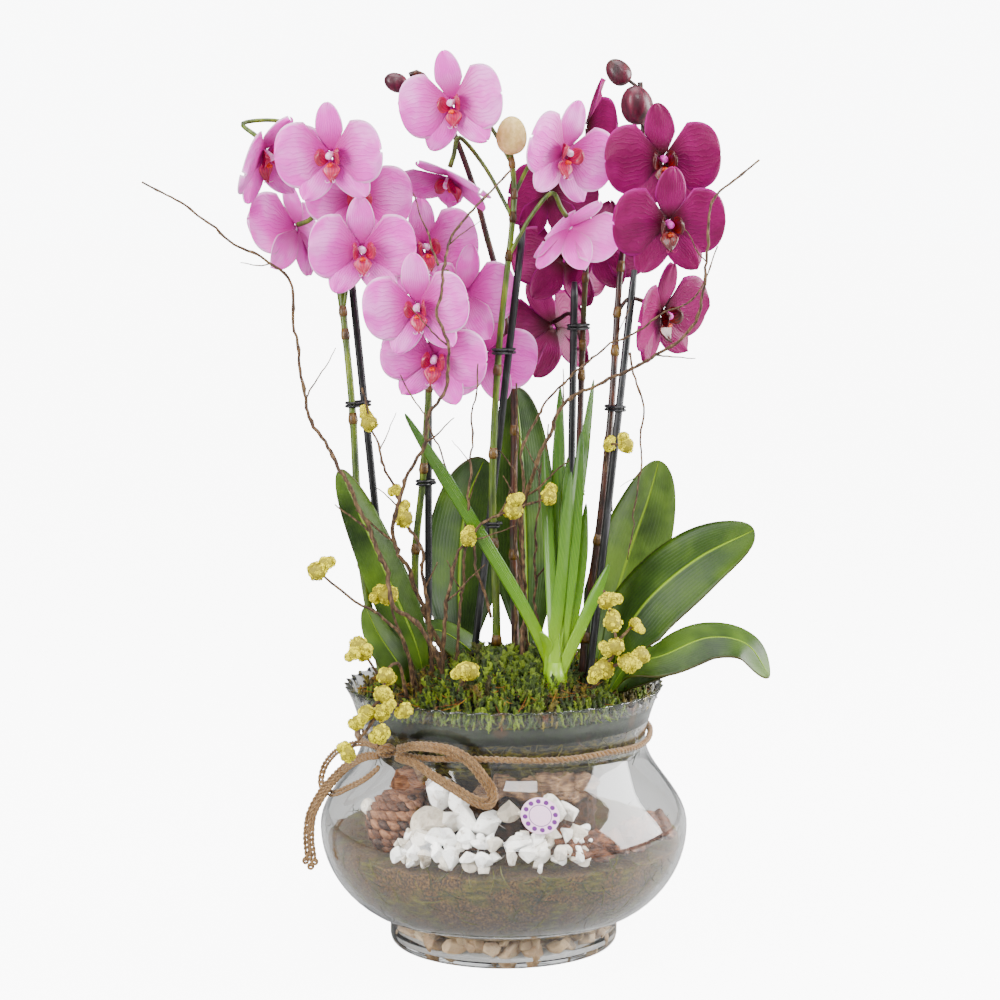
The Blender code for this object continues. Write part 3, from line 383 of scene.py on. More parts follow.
def scatter(template, placings):
    # one bmesh with a copy of the template at each (matrix, tone)
    bm = bmesh.new()
    if "tone" not in template.attributes:
        template.attributes.new("tone", "FLOAT", "POINT")
    for placing, tone in placings:
        copy = template.copy()
        copy.transform(placing)
        copy.attributes["tone"].data.foreach_set("value", [tone] * len(copy.vertices))
        bm.from_mesh(copy)
        bpy.data.meshes.remove(copy)
    return bm


def piece(name, bm, finishes, slot, nodes=(), flat=False):
    # a finished object: on its body, with its record slot, in place of CAD nodes
    mesh = bpy.data.meshes.new(name)
    bm.to_mesh(mesh)
    bm.free()
    for polygon in mesh.polygons:
        polygon.use_smooth = not flat
    for finish in finishes if isinstance(finishes, (list, tuple)) else [finishes]:
        mesh.materials.append(finish.material)
    made = bpy.data.objects.new(name, mesh)
    bpy.context.scene.collection.objects.link(made)
    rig.ride(made, "root")
    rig.slot(made, slot)
    if nodes:
        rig.replaces(made, *nodes)
    return made


def rough(bm, amount, size, seed=0.0):
    # pushes each point along its normal by smooth noise
    bm.normal_update()
    shift = Vector((seed, -seed, 0.5 * seed))
    for vert in bm.verts:
        vert.co += vert.normal * amount * noise.noise(vert.co / size + shift)


def spunShell(profile, steps):
    # a closed round solid from an outline that starts and ends on the axis
    bm = bmesh.new()
    verts = [bm.verts.new((r, 0, z)) for r, z in profile]
    edges = [bm.edges.new(pair) for pair in zip(verts, verts[1:])]
    around = {"axis": (0, 0, 1), "cent": (0, 0, 0), "steps": steps, "angle": math.tau, "use_merge": True}
    bmesh.ops.spin(bm, geom=verts + edges, **around)
    bmesh.ops.remove_doubles(bm, verts=bm.verts, dist=1e-5)
    bmesh.ops.recalc_face_normals(bm, faces=bm.faces)
    return bm


def middleOf(node):
    low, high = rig.box(node)
    return (low + high) / 2


# ---- camera, lights and floor
studio = {
    "eye": (-0.003, -2.0, 0.600),
    "aim": (-0.003, 0.0, 0.3585),
    "lens": 90.9,
    "floorSize": 60.0,
    "skyShines": 0.34,
    "skySeen": 9.0,
    "skyThroughGlass": 1.0,
}


def makeStudio():
    camera = bpy.data.objects.new("camera", bpy.data.cameras.new("camera"))
    bpy.context.scene.collection.objects.link(camera)
    eye = Vector(studio["eye"])
    camera.location = eye
    camera.rotation_euler = (Vector(studio["aim"]) - eye).to_track_quat("-Z", "Y").to_euler()
    camera.data.lens = studio["lens"]
    camera.data.sensor_width = 36
    bpy.context.scene.camera = camera

    world = bpy.data.worlds.new("sky")
    world.use_nodes = True
    background = world.node_tree.nodes["Background"]
    background.inputs["Color"].default_value = (0.98, 0.99, 1.0, 1.0)
    # the sky looks brighter to the camera, and through glass, than it shines
    tree = world.node_tree
    rays = tree.nodes.new("ShaderNodeLightPath")
    strength = studio["skyShines"]
    for ray, seen in (("Is Transmission Ray", studio["skyThroughGlass"]), ("Is Camera Ray", studio["skySeen"])):
        step = tree.nodes.new("ShaderNodeMath")
        step.operation = "MULTIPLY_ADD"
        step.inputs[1].default_value = seen
        tree.links.new(rays.outputs[ray], step.inputs[0])
        if isinstance(strength, float):
            step.inputs[2].default_value = strength
        else:
            tree.links.new(strength, step.inputs[2])
        strength = step.outputs[0]
    tree.links.new(strength, background.inputs["Strength"])
    bpy.context.scene.world = world

    # (name, place, size, power): soft boxes at the sides, overhead and behind the camera
    for name, place, size, power in (
        ("rightBox", (1.75, 0.10, 0.80), (1.3, 1.2), 92),
        ("leftBox", (-1.6, -1.25, 0.95), (0.9, 1.3), 62),
        ("topBox", (0.0, -0.2, 2.1), (1.6, 1.6), 48),
        ("frontBox", (0.7, -2.7, 2.0), (1.4, 1.0), 60),
    ):
        light = bpy.data.lights.new(name, "AREA")
        light.shape = "RECTANGLE"
        light.size, light.size_y = size
        light.energy = power
        lamp = bpy.data.objects.new(name, light)
        bpy.context.scene.collection.objects.link(lamp)
        lamp.location = place
        lamp.rotation_euler = (Vector((0, 0, 0.3)) - Vector(place)).to_track_quat("-Z", "Y").to_euler()

    floor = bmesh.new()
    bmesh.ops.create_grid(floor, x_segments=1, y_segments=1, size=studio["floorSize"] / 2)
    mesh = bpy.data.meshes.new("floor")
    floor.to_mesh(mesh)
    floor.free()
    paper = Finish("floorPaper", 0.8)
    paper.set("Base Color", (0.42, 0.42, 0.42))
    glow = paper.node("ShaderNodeLightPath", output="Is Camera Ray")
    paper.set("Emission Color", paper.blend((0, 0, 0), (1, 1, 1), glow))
    paper.set("Emission Strength", studio["skySeen"])
    mesh.materials.append(paper.material)
    ground = bpy.data.objects.new("floor", mesh)
    bpy.context.scene.collection.objects.link(ground)
    ground.location.z = -0.0005
    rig.stage(ground)


makeStudio()
print("studio ready")

# ---- the bowl's outline, which everything in it follows
bowl = {
    "footRadius": 0.092,
    "footHeight": 0.024,
    "footEdge": 0.006,
    "footInset": 0.003,
    "bellyRadius": 0.148,
    "bellyHeight": 0.097,
    "neckRadius": 0.114,
    "neckHeight": 0.168,
    "rimFlare": 0.013,
    "height": 0.212,
    "wall": 0.0032,
    "base": 0.005,
    "crimps": 46,
    "crimpDepth": 0.0017,
    "steps": 184,
}


def outerRadius(z):
    waist = bowl["footRadius"] - bowl["footInset"]
    edge, foot, belly, neck = (bowl[k] for k in ("footEdge", "footHeight", "bellyHeight", "neckHeight"))
    if z < edge:
        return bowl["footRadius"] - edge * (1 - math.sqrt(1 - (1 - z / edge) ** 2))
    if z <= foot:
        shoulder = foot * 2 / 3
        return bowl["footRadius"] - bowl["footInset"] * max(0.0, (z - shoulder) / (foot - shoulder))
    if z <= belly:
        lean = math.acos((belly - z) / (belly - foot))
        return waist + (bowl["bellyRadius"] - waist) * math.sin(lean) ** 1.2
    if z <= neck:
        rise = (z - belly) / (neck - belly)
        drop = (bowl["bellyRadius"] - bowl["neckRadius"]) * (1 - math.cos(math.pi * rise)) / 2
        return bowl["bellyRadius"] - drop
    flare = (z - neck) / (bowl["height"] - neck)
    return bowl["neckRadius"] + bowl["rimFlare"] * flare**1.4


def innerRadius(z):
    slope = (outerRadius(z + 0.001) - outerRadius(z - 0.001)) / 0.002 if z > 0.026 else 0.0
    return outerRadius(z) - bowl["wall"] * math.sqrt(1 + slope * slope)


def onGlass(angle, z, inset):
    # a point this far inside the glass's outer face, at an angle from the front
    reach = outerRadius(z) - inset
    turn = math.radians(angle)
    return Vector((reach * math.sin(turn), -reach * math.cos(turn), z))


# ---- twine: the collar round the neck and the loose strands of the bow
twine = {
    "strand": 0.0031,
    "plies": 2,
    "pitch": 0.0085,
    "collar": 0.0062,
    "knot": (-0.090, -0.083, 0.173),
    "fuzz": 0.75,
}

bowRight = [
    (-0.082, -0.095, 0.177), (-0.070, -0.107, 0.182), (-0.052, -0.117, 0.183), (-0.037, -0.121, 0.180),
    (-0.025, -0.121, 0.172), (-0.016, -0.123, 0.161), (-0.009, -0.126, 0.151), (-0.011, -0.131, 0.143),
    (-0.023, -0.129, 0.145), (-0.037, -0.122, 0.152), (-0.053, -0.115, 0.160), (-0.067, -0.107, 0.168),
    (-0.083, -0.096, 0.171),
]
bowLeft = [
    (-0.097, -0.079, 0.176), (-0.112, -0.064, 0.175), (-0.128, -0.041, 0.166), (-0.139, -0.025, 0.154),
    (-0.145, -0.020, 0.142), (-0.145, -0.028, 0.132), (-0.135, -0.044, 0.130), (-0.121, -0.059, 0.139),
    (-0.108, -0.070, 0.148), (-0.097, -0.078, 0.159),
]
bowTails = [
    (-0.097, -0.080, 0.169), (-0.109, -0.068, 0.165), (-0.123, -0.055, 0.155), (-0.136, -0.048, 0.141),
    (-0.146, -0.046, 0.127), (-0.153, -0.045, 0.112), (-0.155, -0.044, 0.094), (-0.154, -0.041, 0.078),
    (-0.155, -0.039, 0.068),
]


def juteFinish():
    jute = Finish("jute", 0.85)
    fibres = jute.cloud(0.0011, 4.0)
    patches = jute.cloud(0.02, 2.0)
    base = jute.ramp(fibres, (0.25, shade("4E3C2A")), (0.52, shade("8E765A")), (0.78, shade("C4AC8C")))
    jute.set("Base Color", jute.blend(base, shade("7E6446"), jute.fade(patches, 0.45, 0.75)))
    jute.bump(fibres, 0.0005)
    jute.set("Sheen Weight", 0.35)
    return jute


def fibreTemplate():
    # one loose hair of the jute, along +Z and one unit long
    hair = [Vector((0.12 * math.sin(2.6 * t), 0, t)) for t in (0, 0.3, 0.65, 1.0)]
    return asMesh(sweep(hair, [0.022, 0.02, 0.015, 0.006], sides=3))


def jutePlies(route, thickness, seed, closed=False):
    # two plies laid round each other, with stray hairs standing off them
    pick = random.Random(seed)
    route = evenRoute(route, thickness * 0.36)
    if closed:
        route[-1] = route[0].copy()
    placings = placingsAlong(route)
    turns = len(route) * thickness * 0.36 / twine["pitch"]
    parts = []
    for ply in range(twine["plies"]):
        line = []
        for i, placing in enumerate(placings):
            angle = math.tau * (ply / twine["plies"] + turns * i / len(route)) + 0.5 * pick.random()
            off = Vector((math.cos(angle), math.sin(angle), 0)) * thickness * 0.235
            line.append(placing @ off)
        radii = [thickness * (0.27 + 0.03 * pick.random()) for _ in line]
        parts.append(sweep(line, radii, sides=7))
    hairs = []
    for _ in range(int(len(route) * twine["fuzz"])):
        at = placings[pick.randrange(len(placings))]
        lean = Matrix.Rotation(pick.uniform(0, math.tau), 4, "Z") @ Matrix.Rotation(pick.uniform(0.35, 1.5), 4, "X")
        hairs.append((at @ lean @ Matrix.Scale(thickness * pick.uniform(0.45, 1.2), 4), pick.random()))
    return parts, hairs


def juteRope(name, route, thickness, seed, jute, nodes, closed=False, knots=()):
    parts, hairs = jutePlies(route, thickness, seed, closed)
    for centre, size in knots:
        parts += [makeKnot(centre, size, seed)]
    bm = join(parts)
    hair = fibreTemplate()
    loose = scatter(hair, hairs)
    return piece(name, join([bm, loose]), jute, "twine", nodes)


def makeKnot(centre, size, seed):
    # a tight overhand turn: a wound band of the same twine
    pick = random.Random(seed + 0.5)
    loops = []
    for i in range(40):
        t = i / 39
        angle = math.tau * 2.6 * t
        wide = size * (0.82 + 0.1 * pick.random())
        spot = Vector((wide * math.cos(angle), size * 0.8 * (2 * t - 1) * 0.7, wide * math.sin(angle)))
        loops.append(Vector(centre) + spot)
    return sweep(loops, size * 0.42, sides=7)


def strandOf(points, side, lift, steps, narrow):
    # one strand of a bundle: the bundle's line moved sideways, and drawn together at the knot
    base = smoothRoute(points, steps)
    out = []
    placings = placingsAlong(base, facing=Vector((-0.6, -0.75, 0.2)))
    for i, placing in enumerate(placings):
        t = i / (len(placings) - 1)
        ease = narrow(t)
        out.append(placing @ Vector((side * ease, lift * ease, 0)))
    return out


def makeCords():
    jute = juteFinish()
    half = twine["strand"] / 2
    plans = []
    for k, (side, lift) in enumerate(((-3.3, 0.4), (-1.1, -0.9), (1.1, 0.6), (3.3, -0.4))):
        narrow = lambda t: 0.55 + 0.45 * math.sin(math.pi * t)
        plans.append((f"bow_right_strand_{k + 1}", bowRight, side, lift, narrow, "twine_loop_right", "object"))
    for k, (side, lift) in enumerate(((-1.5, 0.3), (1.5, -0.3))):
        narrow = lambda t: 0.6 + 0.4 * math.sin(math.pi * t)
        plans.append((f"bow_left_strand_{k + 1}", bowLeft, side, lift, narrow, "twine_loop_left", "object"))
    for k, (side, lift) in enumerate(((-5.2, 0.6), (-2.0, -0.4), (1.2, 0.5), (4.6, -0.3))):
        narrow = lambda t: 0.35 + 0.65 * t
        plans.append((f"bow_tail_{k + 1}", bowTails, side, lift, narrow, "twine_tails", "knot"))
    for seed, (name, points, side, lift, narrow, node, farEnd) in enumerate(plans):
        line = strandOf(points, side * 0.001, lift * 0.001, 4, narrow)
        if node == "twine_tails":
            line = line[: len(line) - (seed * 3) % 5]
        knots = [(line[-1], half * 1.5)] if farEnd == "knot" else []
        made = juteRope(name, line, twine["strand"], seed, jute, [node], knots=knots)
        length = sum((b - a).length for a, b in zip(line, line[1:]))
        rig.cord(
            made,
            exit=line[0],
            length=length,
            diameter=twine["strand"],
            far_end="bare" if farEnd == "knot" else farEnd,
            stiffness="limp",
            lay="hanging",
            path=line,
        )
    return jute


jute = makeCords()
print("bow tied")


def makeCollar():
    low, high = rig.box("twine_collar")
    ringHeight = bowl["neckHeight"] + 0.004
    reach = outerRadius(ringHeight) + twine["collar"] / 2 + 0.0004
    ring = []
    for i in range(97):
        angle = math.tau * i / 96
        wobble = 0.0012 * math.sin(3 * angle) + 0.0008 * math.sin(7 * angle + 1)
        ring.append(Vector((reach * math.cos(angle), reach * math.sin(angle), ringHeight + wobble)))
    parts, hairs = jutePlies(ring, twine["collar"] * 0.92, 31, closed=True)
    # the knot: turns of twine wound over each other where the bow is tied
    knot = Vector(twine["knot"])
    outward = Vector((knot.x, knot.y, 0)).normalized()
    across = outward.cross(up)
    pick = random.Random(5)
    for k, (lean, wide) in enumerate(((0.2, 0.0072), (1.3, 0.0066), (2.3, 0.0070), (0.8, 0.0060))):
        turn = Matrix.Rotation(lean, 3, outward)
        loop = []
        for i in range(25):
            angle = math.tau * i / 24
            spot = across * math.cos(angle) * wide * 0.62 + outward * math.sin(angle) * wide
            loop.append(knot + turn @ spot + outward * 0.001 + up * pick.uniform(-0.0004, 0.0004))
        more, moreHairs = jutePlies(loop, twine["strand"] * 1.15, 40 + k)
        parts += more
        hairs += moreHairs
    bm = join([*parts, scatter(fibreTemplate(), hairs)])
    piece("twine_collar_and_knot", bm, jute, "twine", ["twine_collar"])


makeCollar()
print("collar and knot tied")


# ---- the glass bowl
def glassFinish():
    glass = Finish("bowlGlass", 0.0, IOR=1.46, Transmission_Weight=1.0)
    glass.set("Base Color", (0.985, 0.99, 0.985))
    clear = glass.node("ShaderNodeBsdfTransparent", inputs={"Color": (0.97, 0.975, 0.97)})
    shadowRay = glass.node("ShaderNodeLightPath", output="Is Shadow Ray")
    body = Signal(glass, glass.shader.outputs["BSDF"])
    both = glass.node("ShaderNodeMixShader", inputs={0: shadowRay, 1: body, 2: clear})
    glass.tree.links.new(both.socket, glass.surface)
    ripple = glass.cloud(0.05, 1.0)
    glass.bump(ripple, 0.0006)
    return glass


def makeGlass():
    foot, neck, top = bowl["footHeight"], bowl["neckHeight"], bowl["height"]
    lip = 0.0016
    heights = [0.0, 0.0012, 0.003, bowl["footEdge"], foot * 2 / 3, foot]
    heights += [foot + (neck - foot) * (i / 26) ** 1.15 for i in range(1, 27)]
    heights += [neck + (top - lip - neck) * i / 8 for i in range(1, 9)]
    outside = [(outerRadius(z), z) for z in heights]
    inside = [(innerRadius(z), z) for z in reversed(heights) if z > bowl["base"] + 0.004]
    rimMid = outerRadius(top) - bowl["wall"] / 2
    roll = [(rimMid + bowl["wall"] / 2 * math.cos(a), top - lip + lip * math.sin(a)) for a in (0.5, 1.1, 1.57, 2.04, 2.64)]
    floorEdge = [(innerRadius(0.012) - 0.002, bowl["base"] + 0.001), (innerRadius(0.012) - 0.006, bowl["base"])]
    profile = [(0, 0), (bowl["footRadius"] - 0.012, 0), *outside[0:], *roll, *inside, *floorEdge, (0, bowl["base"])]
    shell = spunShell(profile, bowl["steps"])
    start = top - 0.014
    for vert in shell.verts:
        if vert.co.z > start:
            # the rim is pinched into small waves
            grow = ((vert.co.z - start) / (top - start)) ** 2
            angle = math.atan2(vert.co.y, vert.co.x)
            wave = math.sin(bowl["crimps"] * angle)
            reach = 1 + bowl["crimpDepth"] * grow * wave / bowl["neckRadius"]
            vert.co.x *= reach
            vert.co.y *= reach
            vert.co.z -= 0.0008 * grow * (1 + math.cos(bowl["crimps"] * angle + 0.6))
    piece("glass_bowl_clear", shell, glassFinish(), "clear_glass", ["glass_bowl"])


makeGlass()
print("glass blown")

# ---- what fills the bowl: pebbles, soil, root ball and moss
filling = {
    "soilTop": 0.088,
    "waist": 0.076,
    "neckMoss": 0.150,
    "mossEdge": 0.199,
    "mossRise": 0.028,
    "fronds": 2900,
    "threads": 420,
    "wallFibres": 900,
}


def soilFinish():
    soil = Finish("soil", 0.9)
    fine = soil.cloud(0.0016, 5.0)
    strands = soil.cloud(0.004, 4.0, stretch=(0.45, 0.45, 1.6))
    patches = soil.cloud(0.022, 2.5)
    earth = soil.ramp(fine, (0.3, shade("1E150C")), (0.5, shade("4C3A26")), (0.7, shade("806A4C")))
    mossy = soil.ramp(strands, (0.32, shade("26260E")), (0.5, shade("4C4A20")), (0.68, shade("6E6C34")))
    soil.set("Base Color", soil.blend(earth, mossy, soil.fade(patches, 0.46, 0.64) * 0.7))
    soil.bump(fine + strands, 0.0006)
    return soil


def mossFinish(name, light, middle, dark, dry):
    moss = Finish(name, 0.75)
    leaf = moss.cloud(0.0035, 3.0)
    patches = moss.cloud(0.018, 2.0)
    green = moss.ramp(leaf * 0.55 + moss.tone() * 0.5, (0.2, shade(dark)), (0.5, shade(middle)), (0.8, shade(light)))
    moss.set("Base Color", moss.blend(green, shade(dry), moss.fade(patches, 0.56, 0.74)))
    moss.bump(leaf, 0.0008)
    return moss


def stoneFinish(name, stops, patch, depth):
    stone = Finish(name, 0.7)
    grain = stone.cloud(0.0012, 4.0)
    veins = stone.cloud(0.006, 4.0)
    base = stone.ramp(stone.tone() * 0.6 + veins * 0.4, *stops)
    stone.set("Base Color", stone.blend(base, shade(patch), stone.fade(veins, 0.55, 0.72) * 0.7))
    stone.set("Roughness", stone.fade(grain, 0.2, 0.9) * 0.35 + 0.5)
    stone.bump(grain + veins, depth)
    return stone


def barkFinish(name, dark, middle, light):
    bark = Finish(name, 0.8)
    grain = bark.cloud(0.0035, 5.0, stretch=(0.5, 0.5, 2.4))
    flakes = bark.cells(0.006)
    base = bark.ramp(grain * 0.8 + flakes * 0.3, (0.3, shade(dark)), (0.5, shade(middle)), (0.72, shade(light)))
    bark.set("Base Color", base)
    bark.bump(grain + flakes * 0.6, 0.0016)
    return bark


def chip(seed, cuts=9, flatness=1.0):
    # a broken stone of about one unit: a ball cut by planes, its new edges worn
    pick = random.Random(seed)
    bm = bmesh.new()
    bmesh.ops.create_icosphere(bm, subdivisions=2, radius=0.62)
    for _ in range(cuts):
        way = Vector((pick.gauss(0, 1), pick.gauss(0, 1), pick.gauss(0, 1))).normalized()
        whole = bm.verts[:] + bm.edges[:] + bm.faces[:]
        bmesh.ops.bisect_plane(bm, geom=whole, plane_co=way * pick.uniform(0.27, 0.47), plane_no=way, clear_outer=True)
        rims = [e for e in bm.edges if e.is_boundary]
        bmesh.ops.edgenet_fill(bm, edges=rims)
    bmesh.ops.dissolve_limit(bm, angle_limit=0.2, verts=bm.verts, edges=bm.edges)
    worn = {"affect": "EDGES", "segments": 1, "profile": 0.5, "material": -1}
    bmesh.ops.bevel(bm, geom=bm.edges[:], offset=0.035, **worn)
    bmesh.ops.triangulate(bm, faces=bm.faces)
    bmesh.ops.scale(bm, vec=(1, 1, flatness), verts=bm.verts)
    bmesh.ops.recalc_face_normals(bm, faces=bm.faces)
    return asMesh(bm)


def tumbled(place, size, pick):
    spin = Matrix.Rotation(pick.uniform(0, math.tau), 4, Vector((pick.gauss(0, 1), pick.gauss(0, 1), pick.gauss(0, 1))))
    return Matrix.Translation(place) @ spin @ Matrix.Diagonal((*size, 1))


def spread(templates, plans):
    # the plans shared out over several templates, as one bmesh
    return join([scatter(t, plans[i :: len(templates)]) for i, t in enumerate(templates)])


def makeFootPebbles():
    pick = random.Random(11)
    plans = []
    for reach, level, count, size in (
        (0.0775, 0.0125, 30, 0.0178),
        (0.0785, 0.0200, 31, 0.0150),
        (0.062, 0.0125, 24, 0.0170),
        (0.063, 0.0200, 24, 0.0150),
        (0.047, 0.0150, 18, 0.0180),
        (0.030, 0.0150, 11, 0.0160),
        (0.011, 0.0150, 5, 0.0160),
    ):
        for i in range(count):
            angle = math.tau * (i + pick.uniform(-0.3, 0.3)) / count
            place = Vector((reach * math.cos(angle), reach * math.sin(angle), level + pick.uniform(-0.001, 0.001)))
            wide = size * pick.uniform(0.85, 1.2)
            plans.append((tumbled(place, (wide, wide * pick.uniform(0.7, 1), wide * 0.8), pick), pick.random()))
    stops = ((0.15, shade("5E5348")), (0.35, shade("B09E86")), (0.55, shade("84705A")), (0.8, shade("D2C4B0")))
    pebbles = stoneFinish("pebbles", stops, "A08768", 0.0006)
    shapes = [chip(s, cuts=8) for s in (1, 2, 3, 4, 5)]
    piece("foot_pebbles_loose", spread(shapes, plans), pebbles, "pebbles", ["foot_pebbles"], flat=True)


def makeSoil():
    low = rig.box("soil_bed")[0].z + 0.0005
    levels = [low + (filling["soilTop"] - low) * (i / 30) for i in range(31)]
    side = [(innerRadius(z) - 0.0009, z) for z in levels]
    edge = side[-1][0]
    top = [(edge * k, filling["soilTop"] + 0.003 * (1 - k)) for k in (0.97, 0.9, 0.8, 0.7, 0.55, 0.4, 0.2)]
    floor = [(0, low), *((side[0][0] * k, low) for k in (0.4, 0.8))]
    bed = spunShell([*floor, *side, *top, (0, filling["soilTop"] + 0.003)], 150)
    bed.normal_update()
    for vert in bed.verts:
        dent = 0.5 + 0.5 * noise.noise(vert.co / 0.006)
        vert.co -= vert.normal * 0.0022 * dent
        if vert.co.z > filling["soilTop"] - 0.004:
            vert.co.z += 0.003 * noise.noise(vert.co / 0.015)
    piece("soil_and_moss_bed", bed, soilFinish(), "soil", ["soil_bed"])


def rootRadius(z):
    waist = filling["waist"]
    wide = innerRadius(z) - 0.0035
    share = min(1.0, max(0.0, (z - filling["neckMoss"] + 0.02) / 0.034))
    return waist + (wide - waist) * (3 - 2 * share) * share**2


def makeRootBall():
    bottom = filling["soilTop"] - 0.004
    levels = [bottom + (filling["mossEdge"] - bottom) * i / 34 for i in range(35)]
    side = [(rootRadius(z), z) for z in levels]
    ball = spunShell([(0, bottom), (0.04, bottom), *side, (0.06, filling["mossEdge"]), (0, filling["mossEdge"])], 130)
    ball.normal_update()
    for vert in ball.verts:
        vert.co -= vert.normal * (0.002 + 0.0035 * noise.noise(vert.co / 0.008))
    earth = Finish("rootMoss", 0.95)
    fibres = earth.cloud(0.003, 5.0, stretch=(0.5, 0.5, 1.5))
    fine = earth.cloud(0.0012, 3.0)
    base = earth.ramp(fibres, (0.3, shade("14120A")), (0.48, shade("33301A")), (0.66, shade("5E5A2B")))
    level = earth.node("ShaderNodeSeparateXYZ", inputs={0: earth.place()}, output=2)
    peat = earth.ramp(fibres, (0.35, shade("17100A")), (0.6, shade("4A3420")), (0.8, shade("74583A")))
    earth.set("Base Color", earth.blend(peat, base, earth.fade(level, 0.135, 0.165)))
    earth.bump(fibres, 0.0008)
    piece("root_ball_moss", ball, earth, "moss", ["root_ball"])


def mossHeight(x, y):
    reach = min(1.0, math.hypot(x, y) / (bowl["neckRadius"] + bowl["rimFlare"] - 0.006))
    lumps = 0.005 * noise.noise(Vector((x, y, 0.3)) / 0.022) + 0.002 * noise.noise(Vector((x, y, 0.9)) / 0.009)
    return filling["mossEdge"] + filling["mossRise"] * (1 - reach**2.6) ** 0.8 + lumps * (1 - 0.5 * reach)


def frondTemplate(seed):
    # one feathery shoot of moss, one unit tall
    pick = random.Random(seed)
    bm = bmesh.new()
    bmesh.ops.create_cone(bm, segments=3, radius1=0.07, radius2=0.02, depth=1.0, matrix=Matrix.Translation((0, 0, 0.5)))
    for i in range(11):
        height = 0.22 + 0.07 * i
        lean = Matrix.Rotation(2.4 * i, 4, "Z") @ Matrix.Rotation(pick.uniform(0.6, 1.0), 4, "Y")
        size = 0.36 * (1.1 - 0.6 * height)
        spot = Matrix.Translation((0, 0, height)) @ lean @ Matrix.Translation((0, 0, size / 2))
        leaf = bmesh.ops.create_cone(bm, segments=3, radius1=0.1, radius2=0.0, depth=size, matrix=spot)["verts"]
    return asMesh(bm)


def makeMoss():
    cushion = bmesh.new()
    reach = bowl["neckRadius"] + bowl["rimFlare"] - 0.0068
    bmesh.ops.create_circle(cushion, cap_ends=True, segments=96, radius=reach)
    for step in range(16):
        outer = max(cushion.faces, key=lambda f: len(f.verts))
        bmesh.ops.inset_region(cushion, faces=[outer], thickness=reach / 17)
    for vert in cushion.verts:
        vert.co.z = mossHeight(vert.co.x, vert.co.y) - 0.003
    skirt = [e for e in cushion.edges if e.is_boundary]
    down = bmesh.ops.extrude_edge_only(cushion, edges=skirt)["geom"]
    lower = [g for g in down if isinstance(g, bmesh.types.BMVert)]
    for vert in lower:
        vert.co.x *= 0.97
        vert.co.y *= 0.97
        vert.co.z -= 0.012
    bmesh.ops.edgenet_fill(cushion, edges=[e for e in cushion.edges if e.is_boundary])
    bmesh.ops.recalc_face_normals(cushion, faces=cushion.faces)
    turf = mossFinish("turf", "3E4C12", "28340C", "141A06", "3A2C16")
    piece("moss_cushion_base", cushion, turf, "moss", ["moss_cushion"])

    pick = random.Random(3)
    plans = {"fresh": [], "dry": []}
    limit = bowl["neckRadius"] + bowl["rimFlare"] - 0.007
    for i in range(filling["fronds"]):
        radius = limit * math.sqrt((i + 0.5) / filling["fronds"])
        angle = 2.39996 * i
        x, y = radius * math.cos(angle), radius * math.sin(angle)
        rim = radius / limit
        clump = 0.5 + 0.5 * noise.noise(Vector((x, y, 7.0)) / 0.012)
        tall = pick.uniform(0.007, 0.013) * (0.7 + 1.1 * clump) * (1.15 - 0.45 * rim)
        tall *= 1.0 + 0.8 * max(0.0, 1 - math.hypot(x + 0.005, y + 0.05) / 0.05)
        lean = pick.gauss(0, 0.5) + (0.35 if rim < 0.86 else -0.45) * rim
        tilt = Matrix.Rotation(angle + pick.gauss(0, 0.7), 4, "Z") @ Matrix.Rotation(lean, 4, "Y")
        spin = Matrix.Rotation(pick.uniform(0, math.tau), 4, "Z")
        spot = Vector((x, y, mossHeight(x, y) - 0.005))
        dryness = noise.noise(Vector((x, y, 4.0)) / 0.035) + 0.55 * (abs(x - 0.005) / limit) ** 2 + 0.25 * (y > 0)
        kind = "dry" if dryness > 0.32 else "fresh"
        plans[kind].append((Matrix.Translation(spot) @ tilt @ spin @ Matrix.Scale(tall, 4), pick.random()))
    shoots = [frondTemplate(s) for s in (1, 2, 3)]
    fresh = mossFinish("freshMoss", "808E16", "4A5A0C", "1A2204", "4A4812")
    dry = mossFinish("dryMoss", "7E7426", "4C4616", "201C0A", "6A4420")
    piece("moss_shoots_fresh", spread(shoots, plans["fresh"]), fresh, "moss")
    piece("moss_shoots_dry", spread(shoots, plans["dry"]), dry, "moss")

    # dry threads lying across the moss
    thread = [Vector((0.10 * math.sin(3 * t), 0.10 * math.cos(2.4 * t), t - 0.5)) for t in (0, 0.3, 0.6, 0.8, 1.0)]
    template = asMesh(sweep(thread, [0.012, 0.018, 0.018, 0.014, 0.006], sides=3))
    plans = []
    for i in range(filling["threads"]):
        angle, radius = pick.uniform(0, math.tau), limit * 0.93 * math.sqrt(pick.uniform(0.05, 1))
        x, y = radius * math.cos(angle), radius * math.sin(angle)
        spot = Matrix.Translation((x, y, mossHeight(x, y) + pick.uniform(0.001, 0.007)))
        lie = Matrix.Rotation(pick.uniform(0, math.tau), 4, "Z") @ Matrix.Rotation(pick.gauss(1.45, 0.22), 4, "Y")
        plans.append((spot @ lie @ Matrix.Scale(pick.uniform(0.010, 0.024), 4), pick.random()))
    straw = mossFinish("dryThreads", "B08A50", "7C5228", "3A2210", "5A3A1C")
    piece("dry_threads_on_moss", scatter(template, plans), straw, "moss")


